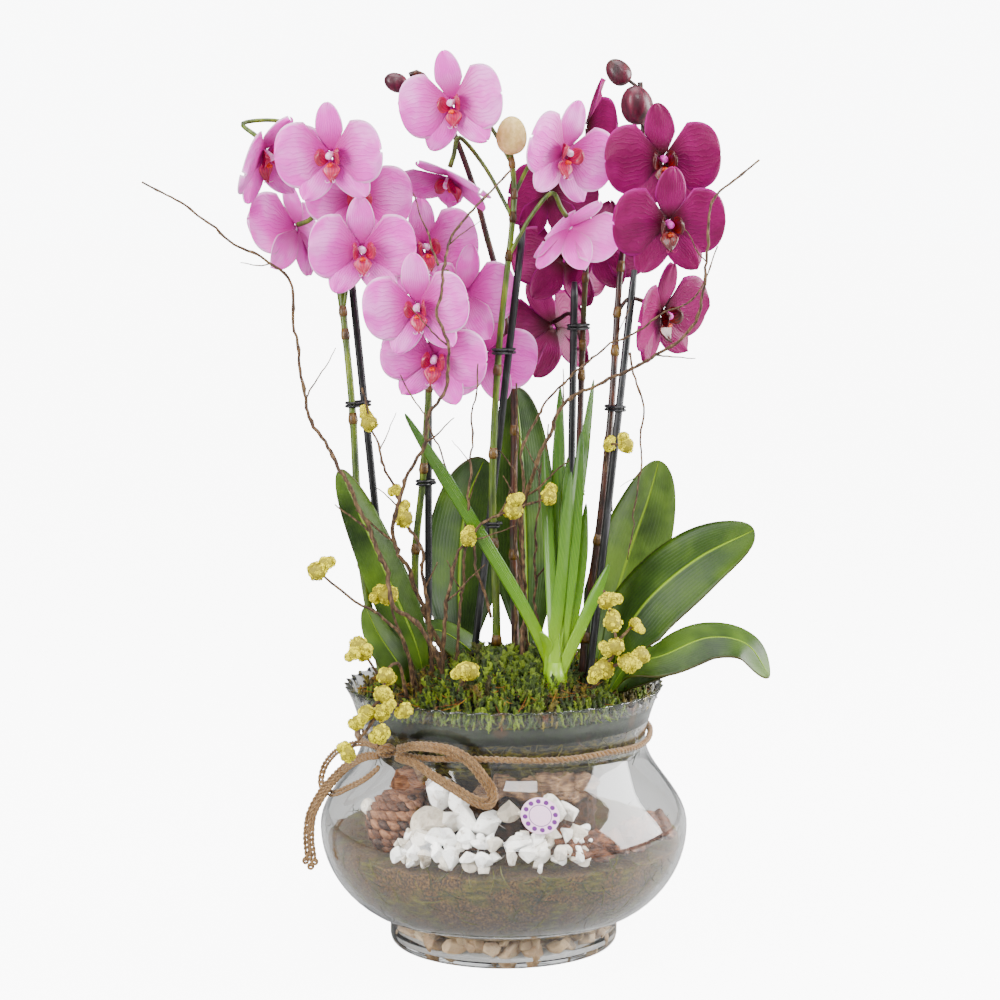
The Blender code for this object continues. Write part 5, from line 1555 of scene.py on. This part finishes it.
def makeStems():
    green = stemFinish("greenStem", "34420E", "5A6A1A", "828C2C", "4A2E1C")
    brown = stemFinish("brownStem", "1E100C", "42281E", "6B4534", "55662A")
    node = stemFinish("nodeScar", "3C2C1A", "66502E", "8A7446", "4C3420")
    cream = plainFinish("creamBud", "E8D8A8", "D8C894")
    wine = stemFinish("wineBud", "300A1C", "561834", "742E44", "4A4A26")
    finishes = {"cream": cream, "wine": wine}
    for name, plan in stems.items():
        pick = random.Random(name)
        route = evenRoute(smoothRoute([aboveRim(p) for p in plan["route"]], 8), stemSizes["step"])
        foot = route[0] - Vector((0, 0, stemSizes["foot"]))
        route = [foot, foot.lerp(route[0], 0.5), *route]
        last = len(route) - 1
        marks = [round(share * last) for share in [*plan["nodes"], *plan["blooms"].values()]]
        radii = []
        for i in range(last + 1):
            size = stemSizes["radius"] + (stemSizes["tip"] - stemSizes["radius"]) * i / last
            near = min(abs(i - m) for m in marks) if marks else 9
            radii.append(size * (1 + 0.16 * max(0, 1 - near * 0.7)) * pick.uniform(0.985, 1.015))
        parts = [(sweep(route, radii, sides=14), 0)]
        for mark in marks:
            if 1 < mark < last - 1:
                sleeve = [route[mark].lerp(route[mark + 1], s) for s in (-0.55, -0.15, 0.25, 0.9)]
                parts.append((sweep(sleeve, [radii[mark] * k for k in (1.02, 1.22, 1.16, 0.95)], sides=12), 1))
        for bloom, share in plan["blooms"].items():
            start = route[round(share * last)]
            end, away = backOf(bloom)
            reach = (end - start).length
            knee = end + away * min(0.4 * reach, 0.016)
            bend = start.lerp(knee, 0.5) + Vector((0, 0, 0.10 * reach))
            line = evenRoute(smoothRoute([start, bend, knee, end, end - away * 0.010], 6), 0.003)
            thick = [stemSizes["stalk"] * (1 + 0.35 * (i / len(line)) ** 3) for i in range(len(line))]
            parts.append((sweep(line, thick, sides=9), 2))
        colours = []
        for stem, share, place, length, colour in buds:
            if stem != name:
                continue
            start = route[round(share * last)]
            centre = aboveRim(place)
            way = (centre - start).normalized()
            way = (way + Vector((0, 0, 0.25 if colour == "wine" else 1.2))).normalized()
            line = smoothRoute([start, start.lerp(centre, 0.5), centre - way * length * 0.4], 3)
            parts.append((sweep(line, stemSizes["stalk"] * 0.85, sides=8), 0))
            parts.append((budShape(centre, length, way), 3))
            colours.append(finishes[colour])
        skin = green if plan["green"] else brown
        stalkSkin = green if name != "right_outer_stem" and plan["green"] else brown
        made = [skin, node, stalkSkin, *(colours[:1] or [wine])]
        slot = "green_stem" if plan["green"] else "dark_stem"
        piece(f"{name}_grown", join(parts), made, slot, [name])


# ---- stakes and their clips
stakeTops = {
    "left_stake": ((-0.088, -0.014, 0.0), (-0.121, -0.010, 0.336)),
    "middle_stake": ((-0.061, 0.014, 0.0), (-0.060, 0.010, 0.246)),
    "centre_stake": ((-0.026, 0.010, 0.0), (0.015, -0.012, 0.362)),
    "right_inner_stake": ((0.052, 0.012, 0.0), (0.056, 0.006, 0.320)),
    "right_outer_stake": ((0.066, -0.046, 0.0), (0.102, -0.020, 0.330)),
}
# bands round a stem and its stake: (stem, stake, height above the rim, CAD clip)
bands = [
    ("left_stem", "left_stake", 0.225, "left_clip"),
    ("centre_stem", "centre_stake", 0.266, "centre_clip"),
    ("right_outer_stem", "right_outer_stake", 0.222, "right_clip"),
    ("middle_stem", "middle_stake", 0.160, None),
    ("centre_stem", "centre_stake", 0.128, None),
    ("right_inner_stem", "right_inner_stake", 0.284, None),
    ("right_inner_stem", "right_inner_stake", 0.150, None),
]


def atHeight(route, z):
    for low, high in zip(route, route[1:]):
        if low.z <= z <= high.z:
            return low.lerp(high, (z - low.z) / (high.z - low.z))
    return route[-1]


def makeStakes():
    black = Finish("stakeBlack", 0.38)
    scuffs = black.cloud(0.006, 4.0, stretch=(1.0, 1.0, 0.2))
    black.set("Base Color", black.blend((0.006, 0.006, 0.007), (0.03, 0.03, 0.033), black.fade(scuffs, 0.5, 0.7)))
    black.set("Roughness", black.fade(scuffs, 0.3, 0.8) * 0.3 + 0.3)
    black.bump(scuffs, 0.0002)
    for name, (foot, top) in stakeTops.items():
        low, high = aboveRim(foot), aboveRim(top)
        low += (low - high).normalized() * 0.012
        route = evenRoute([low, high], 0.012)
        radii = [0.003] * (len(route) - 2) + [0.0029, 0.0022]
        rod = sweep(route, radii, sides=14)
        piece(f"{name}_rod", rod, black, "stake", [name])
    for i, (stem, stake, height, node) in enumerate(bands):
        route = smoothRoute([aboveRim(p) for p in stems[stem]["route"]], 8)
        z = rim + height
        a = atHeight(route, z)
        b = atHeight([aboveRim(stakeTops[stake][0]), aboveRim(stakeTops[stake][1])], z)
        way = Vector((b.x - a.x, b.y - a.y, 0)).normalized()
        side = Vector((-way.y, way.x, 0))
        loops = []
        for lift in (-0.0013, 0.0013):
            ring = []
            for k in range(36):
                turn = math.tau * k / 36
                centre = b if math.cos(turn) > 0 else a
                spot = Vector((centre.x, centre.y, z + lift))
                ring.append(spot + 0.0046 * (way * math.cos(turn) + side * math.sin(turn)))
            ring.append(ring[0].copy())
            loops.append(sweep(ring, 0.0011, sides=8))
        # the clip's finger tab
        grip = a.lerp(b, 0.5) + side * -0.005
        tab = [Vector((grip.x, grip.y, z)), Vector((grip.x, grip.y, z)) - side * 0.004 + way * 0.002]
        loops.append(sweep(evenRoute(tab, 0.001), 0.0013, sides=8))
        piece(f"clip_{i + 1}", join(loops), black, "stake", [node] if node else ())


# ---- leaves: route above the rim, width, the way the upper side faces, fold in degrees
leaves = {
    "right_upright_leaf": {
        "route": [(0.074, 0.004, 0.0), (0.079, 0.004, 0.030), (0.099, 0.009, 0.097), (0.116, 0.016, 0.145), (0.125, 0.022, 0.176)],
        "width": 0.062, "faces": (-0.35, -0.80, 0.25), "fold": 16, "pale": 0.6,
    },
    "right_broad_leaf": {
        "route": [(0.086, -0.018, 0.0), (0.092, -0.020, 0.032), (0.113, -0.027, 0.069), (0.152, -0.034, 0.104), (0.196, -0.042, 0.128)],
        "width": 0.064, "faces": (-0.45, -0.75, 0.50), "fold": 8, "pale": 0.0,
    },
    "right_drooping_leaf": {
        "route": [
            (0.082, -0.053, 0.0), (0.096, -0.066, 0.024), (0.124, -0.075, 0.035), (0.158, -0.072, 0.048),
            (0.188, -0.072, 0.043), (0.206, -0.072, 0.018),
        ],
        "width": 0.042, "faces": (0.10, -0.50, 0.85), "fold": 12, "pale": 0.3,
    },
    "back_upright_leaf": {
        "route": [(0.022, 0.066, 0.0), (0.020, 0.070, 0.040), (0.018, 0.072, 0.120), (0.014, 0.070, 0.190), (0.010, 0.062, 0.232)],
        "width": 0.058, "faces": (0.25, -0.95, 0.10), "fold": 14, "pale": 0.1,
    },
    "centre_arching_leaf": {
        "route": [(-0.032, 0.042, 0.0), (-0.036, 0.044, 0.036), (-0.036, 0.048, 0.090), (-0.030, 0.048, 0.140), (-0.016, 0.040, 0.176)],
        "width": 0.060, "faces": (-0.20, -0.95, 0.15), "fold": 12, "pale": 0.0,
    },
    "left_long_leaf": {
        "route": [(-0.062, -0.020, 0.0), (-0.070, -0.024, 0.036), (-0.090, -0.032, 0.086), (-0.108, -0.040, 0.130), (-0.128, -0.046, 0.176)],
        "width": 0.036, "faces": (0.30, -0.85, 0.30), "fold": 16, "pale": 0.4,
    },
    # small leaves with no node of their own, low in the moss
    "low_left_leaf": {
        "route": [(-0.072, -0.040, -0.004), (-0.082, -0.050, 0.022), (-0.098, -0.056, 0.048), (-0.108, -0.058, 0.070)],
        "width": 0.028, "faces": (0.4, -0.8, 0.4), "fold": 12, "pale": 0.5, "own": True,
    },
    "low_back_leaf": {
        "route": [(-0.010, 0.020, -0.004), (-0.024, 0.012, 0.020), (-0.050, 0.004, 0.040), (-0.068, -0.004, 0.040)],
        "width": 0.030, "faces": (0.1, -0.7, 0.7), "fold": 14, "pale": 0.1, "own": True,
    },
    "low_right_leaf": {
        "route": [(0.074, -0.036, -0.006), (0.092, -0.040, 0.012), (0.114, -0.046, 0.020), (0.136, -0.052, 0.022)],
        "width": 0.032, "faces": (0.1, -0.6, 0.8), "fold": 10, "pale": 0.2, "own": True,
    },
}
leafGrid = {"rows": 44, "columns": 16, "thickness": 0.0016, "neck": 0.0040}


def leafFinish():
    leaf = Finish("orchidLeaf", 0.32)
    run = leaf.along()[0]
    across = Signal(leaf, run.socket.node.outputs[1])
    middle = leaf.node("ShaderNodeMath", {"operation": "ABSOLUTE"}, {0: across - 0.5})
    streaks = leaf.node("ShaderNodeMath", {"operation": "SINE"}, {0: across * 130.0 + leaf.cloud(0.03) * 6.0})
    fine = leaf.fade(streaks, 0.0, 1.0)
    patches = leaf.cloud(0.035, 2.5)
    base = leaf.ramp(patches, (0.3, shade("223604")), (0.5, shade("384E08")), (0.72, shade("566C10")))
    base = leaf.blend(base, shade("8FA860"), leaf.tone("pale") * leaf.fade(patches, 0.2, 0.7) * 0.55)
    base = leaf.blend(base, shade("6E8C3C"), fine * 0.05)
    base = leaf.blend(base, shade("9CB45A"), leaf.fade(middle, 0.028, 0.004) * 0.75)
    base = leaf.blend(base, shade("4A3A1A"), leaf.fade(middle, 0.485, 0.5) * 0.6)
    leaf.set("Base Color", base)
    leaf.set("Roughness", leaf.fade(patches, 0.2, 0.8) * 0.14 + 0.36)
    leaf.bump(fine * 0.10 + leaf.fade(middle, 0.03, 0.0), 0.0006)
    leaf.set("Specular IOR Level", 0.35)
    return leaf


def strap(route, width, facing, fold, shape, rows, columns, thickness, pale, twist=0.0, wave=0.0):
    # a leaf: a grid carried along a route, folded at its midrib
    bm = bmesh.new()
    bm.loops.layers.uv.new("UVMap")
    layer = bm.verts.layers.float.new("pale")
    bmesh.ops.create_grid(bm, x_segments=rows, y_segments=columns, size=0.5, calc_uvs=True)
    line = evenRoute(smoothRoute(route, 10), sum((Vector(b) - Vector(a)).length for a, b in zip(route, route[1:])) / 96)
    placings = placingsAlong(line, facing=Vector(facing).normalized())
    for vert in bm.verts:
        share, side = vert.co.x + 0.5, 2 * vert.co.y
        spread = 1 - (1 - share) ** 1.5
        at = spread * (len(placings) - 1)
        index = min(int(at), len(placings) - 2)
        here = placings[index].lerp(placings[index + 1], at - index)
        half = width / 2 * shape(spread)
        lift = math.tan(math.radians(fold)) * abs(side) ** 1.25 * half * min(1.0, spread * 3)
        lift -= 0.10 * half * side**4
        lift += wave * half * math.sin(9 * spread + 2 * side) * side * side
        roll = Matrix.Rotation(twist * spread, 4, "Z")
        vert.co = here @ roll @ Vector((side * half, lift, 0))
        vert[layer] = pale
    bmesh.ops.solidify(bm, geom=bm.faces[:], thickness=thickness)
    bmesh.ops.recalc_face_normals(bm, faces=bm.faces)
    return bm


def leafOutline(share):
    swell = abs(2 * share**0.86 - 1)
    belly = max(0.0, 1 - swell**2.1) ** (1 / 2.1)
    return max(belly * (0.30 + 0.70 * min(1.0, share / 0.35)), 0.13 if share < 0.5 else 0.03)


def makeLeaves():
    skin = leafFinish()
    for name, plan in leaves.items():
        route = [aboveRim(p) for p in plan["route"]]
        size = (leafGrid["rows"], leafGrid["columns"], leafGrid["thickness"], plan["pale"])
        bm = strap(route, plan["width"], plan["faces"], plan["fold"], leafOutline, *size, wave=0.05)
        nodes = () if plan.get("own") else [name]
        piece(f"{name}_blade", bm, skin, "orchid_leaf", nodes)


# ---- bulb leaves: middle and tip above the rim, width
tuftFoot = (0.040, -0.058, 0.002)
blades = [
    ((0.042, -0.046, 0.120), (0.044, -0.034, 0.240), 0.0100),
    ((0.052, -0.050, 0.110), (0.070, -0.040, 0.246), 0.0098),
    ((0.036, -0.050, 0.100), (0.031, -0.040, 0.196), 0.0092),
    ((0.052, -0.058, 0.100), (0.060, -0.054, 0.206), 0.0104),
    ((0.044, -0.060, 0.080), (0.052, -0.062, 0.176), 0.0100),
    ((0.062, -0.062, 0.060), (0.082, -0.058, 0.104), 0.0088),
    ((0.012, -0.058, 0.076), (-0.076, -0.070, 0.222), 0.0095),
    ((0.046, -0.052, 0.090), (0.050, -0.046, 0.186), 0.0096),
    ((0.058, -0.054, 0.084), (0.064, -0.050, 0.150), 0.0084),
    ((0.034, -0.062, 0.040), (0.028, -0.068, 0.052), 0.0080),
]


def makeBulbLeaves():
    skin = Finish("bulbLeaf", 0.35)
    run = skin.along()[0]
    across = Signal(skin, run.socket.node.outputs[1])
    lines = skin.fade(skin.node("ShaderNodeMath", {"operation": "SINE"}, {0: across * 60.0}), 0.0, 1.0)
    height = skin.node("ShaderNodeSeparateXYZ", inputs={0: skin.place()}, output=2)
    fresh = skin.ramp(skin.fade(height, rim - 0.01, rim + 0.20), (0.0, shade("98B42C")), (0.35, shade("648A1C")), (1.0, shade("345A20")))
    skin.set("Base Color", skin.blend(fresh, shade("B8D468"), lines * 0.25))
    skin.bump(lines, 0.0003)
    skin.set("Coat Weight", 0.2)
    foot = aboveRim(tuftFoot)
    parts = []
    for i, (middle, tip, width) in enumerate(blades):
        lean = Vector((math.cos(i * 2.4), math.sin(i * 2.4), 0)) * 0.0048
        route = [foot + lean * 0.6 - up * 0.010, foot + lean + up * 0.014, aboveRim(middle), aboveRim(tip)]
        outline = lambda s: (0.86 + 0.14 * s / 0.4 if s < 0.4 else 1.0) * min(1.0, (max(0.0, 1 - s) / 0.22)) ** 0.55 + 0.03
        facing = (0.25 * math.sin(i * 1.7), -1, 0.15)
        parts.append(strap(route, width, facing, 16, outline, 30, 6, 0.0013, 0.5, twist=0.5 * math.sin(i * 2.1)))
    sleeve = [foot - up * 0.014, foot, foot + up * 0.012, foot + up * 0.024]
    parts.append(sweep(sleeve, [0.0085, 0.0092, 0.0078, 0.0058], sides=16))
    piece("bulb_leaves_tuft", join(parts), skin, "bulb_leaf", ["bulb_leaves"])


makeStems()
makeStakes()
print("stems and stakes stand")
makeLeaves()
makeBulbLeaves()
print("leaves grown")

# ---- twigs: routes above the rim, thickness at the foot, side shoots
twigs = {
    "left_twig": {
        "route": [
            (-0.044, -0.044, -0.004), (-0.056, -0.060, 0.040), (-0.086, -0.066, 0.078), (-0.098, -0.062, 0.118),
            (-0.126, -0.060, 0.176), (-0.152, -0.056, 0.226), (-0.160, -0.052, 0.276), (-0.168, -0.050, 0.326),
            (-0.210, -0.048, 0.354), (-0.252, -0.046, 0.384), (-0.278, -0.046, 0.398),
        ],
        "size": 0.0023, "shoots": 3,
    },
    "centre_twig": {
        "route": [
            (-0.036, -0.020, -0.004), (-0.056, -0.036, 0.048), (-0.074, -0.052, 0.096), (-0.086, -0.066, 0.136),
            (-0.060, -0.086, 0.206), (-0.042, -0.096, 0.262), (-0.048, -0.098, 0.306), (-0.040, -0.094, 0.356),
            (-0.016, -0.080, 0.384), (0.006, -0.060, 0.408),
        ],
        "size": 0.0023, "shoots": 4,
    },
    "right_twig": {
        "route": [
            (0.014, -0.034, -0.004), (0.016, -0.036, 0.078), (0.014, -0.040, 0.138), (0.034, -0.076, 0.206),
            (0.052, -0.086, 0.236), (0.104, -0.094, 0.262), (0.142, -0.108, 0.292), (0.150, -0.116, 0.338),
            (0.156, -0.112, 0.384), (0.190, -0.104, 0.414),
        ],
        "size": 0.0023, "shoots": 4,
    },
    # thinner twigs with no node of their own: a few points, and the wood wanders between them
    "fine_twig_right": {
        "route": [
            (0.02, -0.02, 0.0), (0.015, -0.05, 0.11), (0.02, -0.065, 0.21), (0.075, -0.08, 0.27),
            (0.14, -0.10, 0.31), (0.16, -0.10, 0.35),
        ],
        "size": 0.0016, "shoots": 2,
    },
    "hanging_twig": {"route": [(0.095, -0.092, 0.27), (0.105, -0.10, 0.21), (0.095, -0.08, 0.11)], "size": 0.0011, "shoots": 1},
    "inner_twig": {"route": [(-0.04, -0.04, 0.0), (-0.03, -0.06, 0.12), (-0.02, -0.07, 0.26)], "size": 0.0016, "shoots": 2},
    "cross_twig": {"route": [(-0.01, -0.05, 0.06), (-0.04, -0.06, 0.17), (-0.08, -0.05, 0.25)], "size": 0.0014, "shoots": 1},
    "bearing_twig_centre": {
        "route": [(-0.05, -0.045, 0.0), (-0.04, -0.06, 0.10), (-0.01, -0.07, 0.14), (0.035, -0.05, 0.155)],
        "size": 0.0021, "shoots": 3,
    },
    "bearing_twig_left": {
        "route": [(-0.055, -0.035, 0.0), (-0.065, -0.055, 0.11), (-0.09, -0.055, 0.17), (-0.11, -0.05, 0.24)],
        "size": 0.0021, "shoots": 3,
    },
    "upright_twig": {"route": [(0.01, -0.01, 0.0), (0.01, -0.01, 0.13), (0.01, 0.0, 0.24)], "size": 0.0018, "shoots": 1},
    "short_twig": {"route": [(0.03, -0.01, 0.0), (0.025, -0.02, 0.12), (0.035, -0.03, 0.21)], "size": 0.0015, "shoots": 2},
    "high_twig": {"route": [(-0.05, -0.07, 0.335), (-0.06, -0.055, 0.365), (-0.07, -0.05, 0.39)], "size": 0.0011, "shoots": 0},
}


def wander(route, amount, seed):
    # a natural line: the given one, pushed about by slow and quick noise
    moved = []
    for i, spot in enumerate(route):
        share = i / (len(route) - 1)
        fade = min(1.0, 6 * share, 6 * (1 - share))
        push = Vector([noise.noise(Vector((seed, axis * 9.1, i * 0.16))) for axis in range(3)])
        quick = Vector([noise.noise(Vector((seed + 5, axis * 7.3, i * 0.7))) for axis in range(3)])
        moved.append(spot + (push * 1.0 + quick * 0.35) * amount * fade)
    return moved


def woody(route, size, shoots, seed, slim=0.42):
    # a twig with buds along it and a few fine side shoots
    pick = random.Random(seed)
    line = evenRoute(smoothRoute(route, 8), 0.0042)
    line = wander(line, 0.0042, seed)
    last = len(line) - 1
    radii = []
    for i in range(last + 1):
        knot = 0.30 if i % 7 == seed % 7 else 0.0
        radii.append(size * (1 - (1 - slim) * i / last) * (1 + knot) * pick.uniform(0.9, 1.08))
    parts = [sweep(line, radii, sides=8)]
    for k in range(shoots):
        at = round(last * (0.25 + 0.65 * (k + pick.uniform(0.2, 0.8)) / shoots))
        start = line[at]
        ahead = (line[min(at + 2, last)] - line[at - 2]).normalized()
        out = ahead.cross(Vector((pick.uniform(-0.3, 0.3), 1, pick.uniform(-0.3, 0.3)))).normalized()
        out *= pick.choice((-1, 1))
        reach = pick.uniform(0.016, 0.036)
        bend = start + (ahead * 0.7 + out * 0.5) * reach * 0.5
        end = start + (ahead * 0.9 + out * 0.75 + up * 0.15) * reach
        side = evenRoute(smoothRoute([start, bend, end], 6), 0.0035)
        fine = [radii[at] * 0.62 * (1 - 0.6 * i / len(side)) for i in range(len(side))]
        parts.append(sweep(wander(side, 0.002, seed + k), fine, sides=6))
    return line, parts


def woodFinish():
    wood = Finish("twigBark", 0.78)
    grain = wood.cloud(0.0022, 4.0, stretch=(1.0, 1.0, 0.35))
    patches = wood.cloud(0.016, 2.0)
    base = wood.ramp(grain, (0.28, shade("261C14")), (0.5, shade("564434")), (0.74, shade("8A7660")))
    wood.set("Base Color", wood.blend(base, shade("7A6A50"), wood.fade(patches, 0.55, 0.75) * 0.6))
    wood.bump(grain, 0.0006)
    return wood


twigLines = {}


def makeTwigs(wood):
    for seed, (name, plan) in enumerate(twigs.items()):
        route = [aboveRim(p) for p in plan["route"]]
        twigLines[name], parts = woody(route, plan["size"] * 0.86, plan["shoots"], seed + 3)
        nodes = [name] if seed < 3 else ()
        piece(f"{name}_wood", join(parts), wood, "twig", nodes)


# ---- yellow everlastings: heads of many small florets on thin woody stalks
# each stalk is its route above the rim, or a twig's name, and its heads: (share of the way, radius)
sprigs = {
    "left_sprig": [
        ([(-0.07, -0.052, 0.0), (-0.08, -0.07, 0.05), (-0.115, -0.088, 0.08), (-0.145, -0.092, 0.105)], [(0.97, 0.0095)]),
        ([(-0.066, -0.05, 0.0), (-0.078, -0.058, 0.04), (-0.092, -0.06, 0.085)], [(0.95, 0.010)]),
    ],
    "hanging_sprig": [
        (
            [(-0.075, -0.068, 0.0), (-0.082, -0.084, 0.03), (-0.091, -0.104, 0.02), (-0.093, -0.122, -0.016)],
            [(0.55, 0.0085), (0.70, 0.0085), (0.85, 0.008), (1.0, 0.008)],
        ),
        ([(-0.093, -0.112, 0.008), (-0.110, -0.12, -0.008)], [(0.6, 0.0075), (1.0, 0.0065)]),
        ([(-0.093, -0.108, 0.010), (-0.075, -0.117, 0.0)], [(1.0, 0.007)]),
        ([(-0.098, -0.118, -0.006), (-0.118, -0.126, -0.032)], [(1.0, 0.0075)]),
    ],
    "right_sprig": [
        (
            [(0.066, -0.068, 0.0), (0.078, -0.086, 0.028), (0.086, -0.091, 0.048), (0.077, -0.078, 0.086)],
            [(0.33, 0.010), (0.55, 0.0085), (0.72, 0.0085), (0.92, 0.008)],
        ),
        ([(0.078, -0.084, 0.026), (0.105, -0.09, 0.037)], [(0.55, 0.008), (1.0, 0.0085)]),
        ([(0.086, -0.09, 0.048), (0.101, -0.08, 0.060)], [(1.0, 0.0055)]),
    ],
    # heads on the fine twigs, with no node of their own
    "twig_heads": [
        ("bearing_twig_left", [(0.56, 0.009), (0.66, 0.0055), (0.88, 0.0085)]),
        ("bearing_twig_centre", [(0.64, 0.0075), (0.84, 0.0095), (1.0, 0.008)]),
        ([(-0.04, -0.08, 0.0), (-0.027, -0.096, 0.026)], [(1.0, 0.0095)]),
        ([(-0.085, -0.07, 0.0), (-0.112, -0.088, 0.045)], [(0.85, 0.008), (1.0, 0.0085)]),
        ([(0.085, -0.02, 0.14), (0.08, -0.03, 0.19), (0.095, -0.05, 0.195)], [(0.72, 0.006), (1.0, 0.0075)]),
    ],
}
florets = {"perHead": 58, "size": 0.0017}


def floretTemplate(seed):
    # one tiny bloom: a cup of five blunt scales round a button
    pick = random.Random(seed)
    bm = bmesh.new()
    bmesh.ops.create_icosphere(bm, subdivisions=1, radius=0.30, matrix=Matrix.Translation((0, 0, 0.30)))
    for i in range(5):
        lean = Matrix.Rotation(math.tau * i / 5, 4, "Z") @ Matrix.Rotation(pick.uniform(0.5, 0.8), 4, "Y")
        spot = lean @ Matrix.Translation((0, 0, 0.42)) @ Matrix.Diagonal((0.55, 1, 1, 1))
        bmesh.ops.create_cone(bm, segments=4, radius1=0.10, radius2=0.22, depth=0.62, cap_ends=True, matrix=spot)
    return asMesh(bm)


def makeHead(centre, radius, pick, placings, cores):
    # one head: a ball, with florets spaced evenly round it
    ball = bmesh.new()
    bmesh.ops.create_icosphere(ball, subdivisions=2, radius=radius * 0.80, matrix=Matrix.Translation(centre))
    cores.append((ball, 0))
    for i in range(florets["perHead"]):
        z = 1 - 2 * (i + 0.5) / florets["perHead"]
        ring = math.sqrt(1 - z * z)
        turn = 2.39996 * i
        way = Vector((ring * math.cos(turn), ring * math.sin(turn), z))
        way = (way + Vector([pick.gauss(0, 0.12) for _ in range(3)])).normalized()
        deep = radius * pick.uniform(0.62, 0.86)
        size = florets["size"] * pick.uniform(1.35, 2.25)
        aim = way.to_track_quat("Z", "Y").to_matrix().to_4x4()
        spin = Matrix.Rotation(pick.uniform(0, math.tau), 4, "Z")
        place = Matrix.Translation(centre + way * (deep - size * 0.5))
        placings.append((place @ aim @ spin @ Matrix.Scale(size, 4), pick.random()))


def makeSprigs(wood):
    yellow = Finish("everlasting", 0.7)
    fine = yellow.cloud(0.0018, 3.0)
    base = yellow.ramp(yellow.tone() * 0.7 + fine * 0.3, (0.12, shade("8E8600")), (0.4, shade("CCC400")), (0.7, shade("F2EA10")))
    yellow.set("Base Color", yellow.blend(base, shade("8E8410"), yellow.fade(fine, 0.68, 0.82) * 0.5))
    yellow.bump(fine, 0.0003)
    shapes = [floretTemplate(s) for s in (1, 2, 3)]
    pick = random.Random(21)
    for seed, (name, plan) in enumerate(sprigs.items()):
        stalks, placings, cores = [], [], []
        for k, (route, heads) in enumerate(plan):
            if isinstance(route, str):
                line = twigLines[route]
            else:
                line = wander(evenRoute(smoothRoute([aboveRim(p) for p in route], 6), 0.003), 0.0016, seed * 7 + k)
                radii = [0.0014 * (1 - 0.35 * i / len(line)) for i in range(len(line))]
                stalks.append((sweep(line, radii, sides=7), 1))
            for share, radius in heads:
                centre = line[round(share * (len(line) - 1))]
                for crowd in range(3):
                    if crowd:
                        beside = Vector([pick.uniform(-1, 1) for _ in range(3)]).normalized()
                        centre, radius = centre + beside * radius * 0.85, radius * 0.72
                    makeHead(centre, radius, pick, placings, cores)
        nodes = () if name == "twig_heads" else [name]
        piece(f"{name}_heads", join([(spread(shapes, placings), 0), *cores, *stalks]), [yellow, wood], "sprig", nodes)


twigWood = woodFinish()
makeTwigs(twigWood)
makeSprigs(twigWood)
print("twigs and sprigs placed")

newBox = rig.bounds()
with open("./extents.json", "w") as sizes:
    json.dump({"cad": [list(c) for c in cadBox], "visual": [list(c) for c in newBox]}, sizes)
print("sizes written")
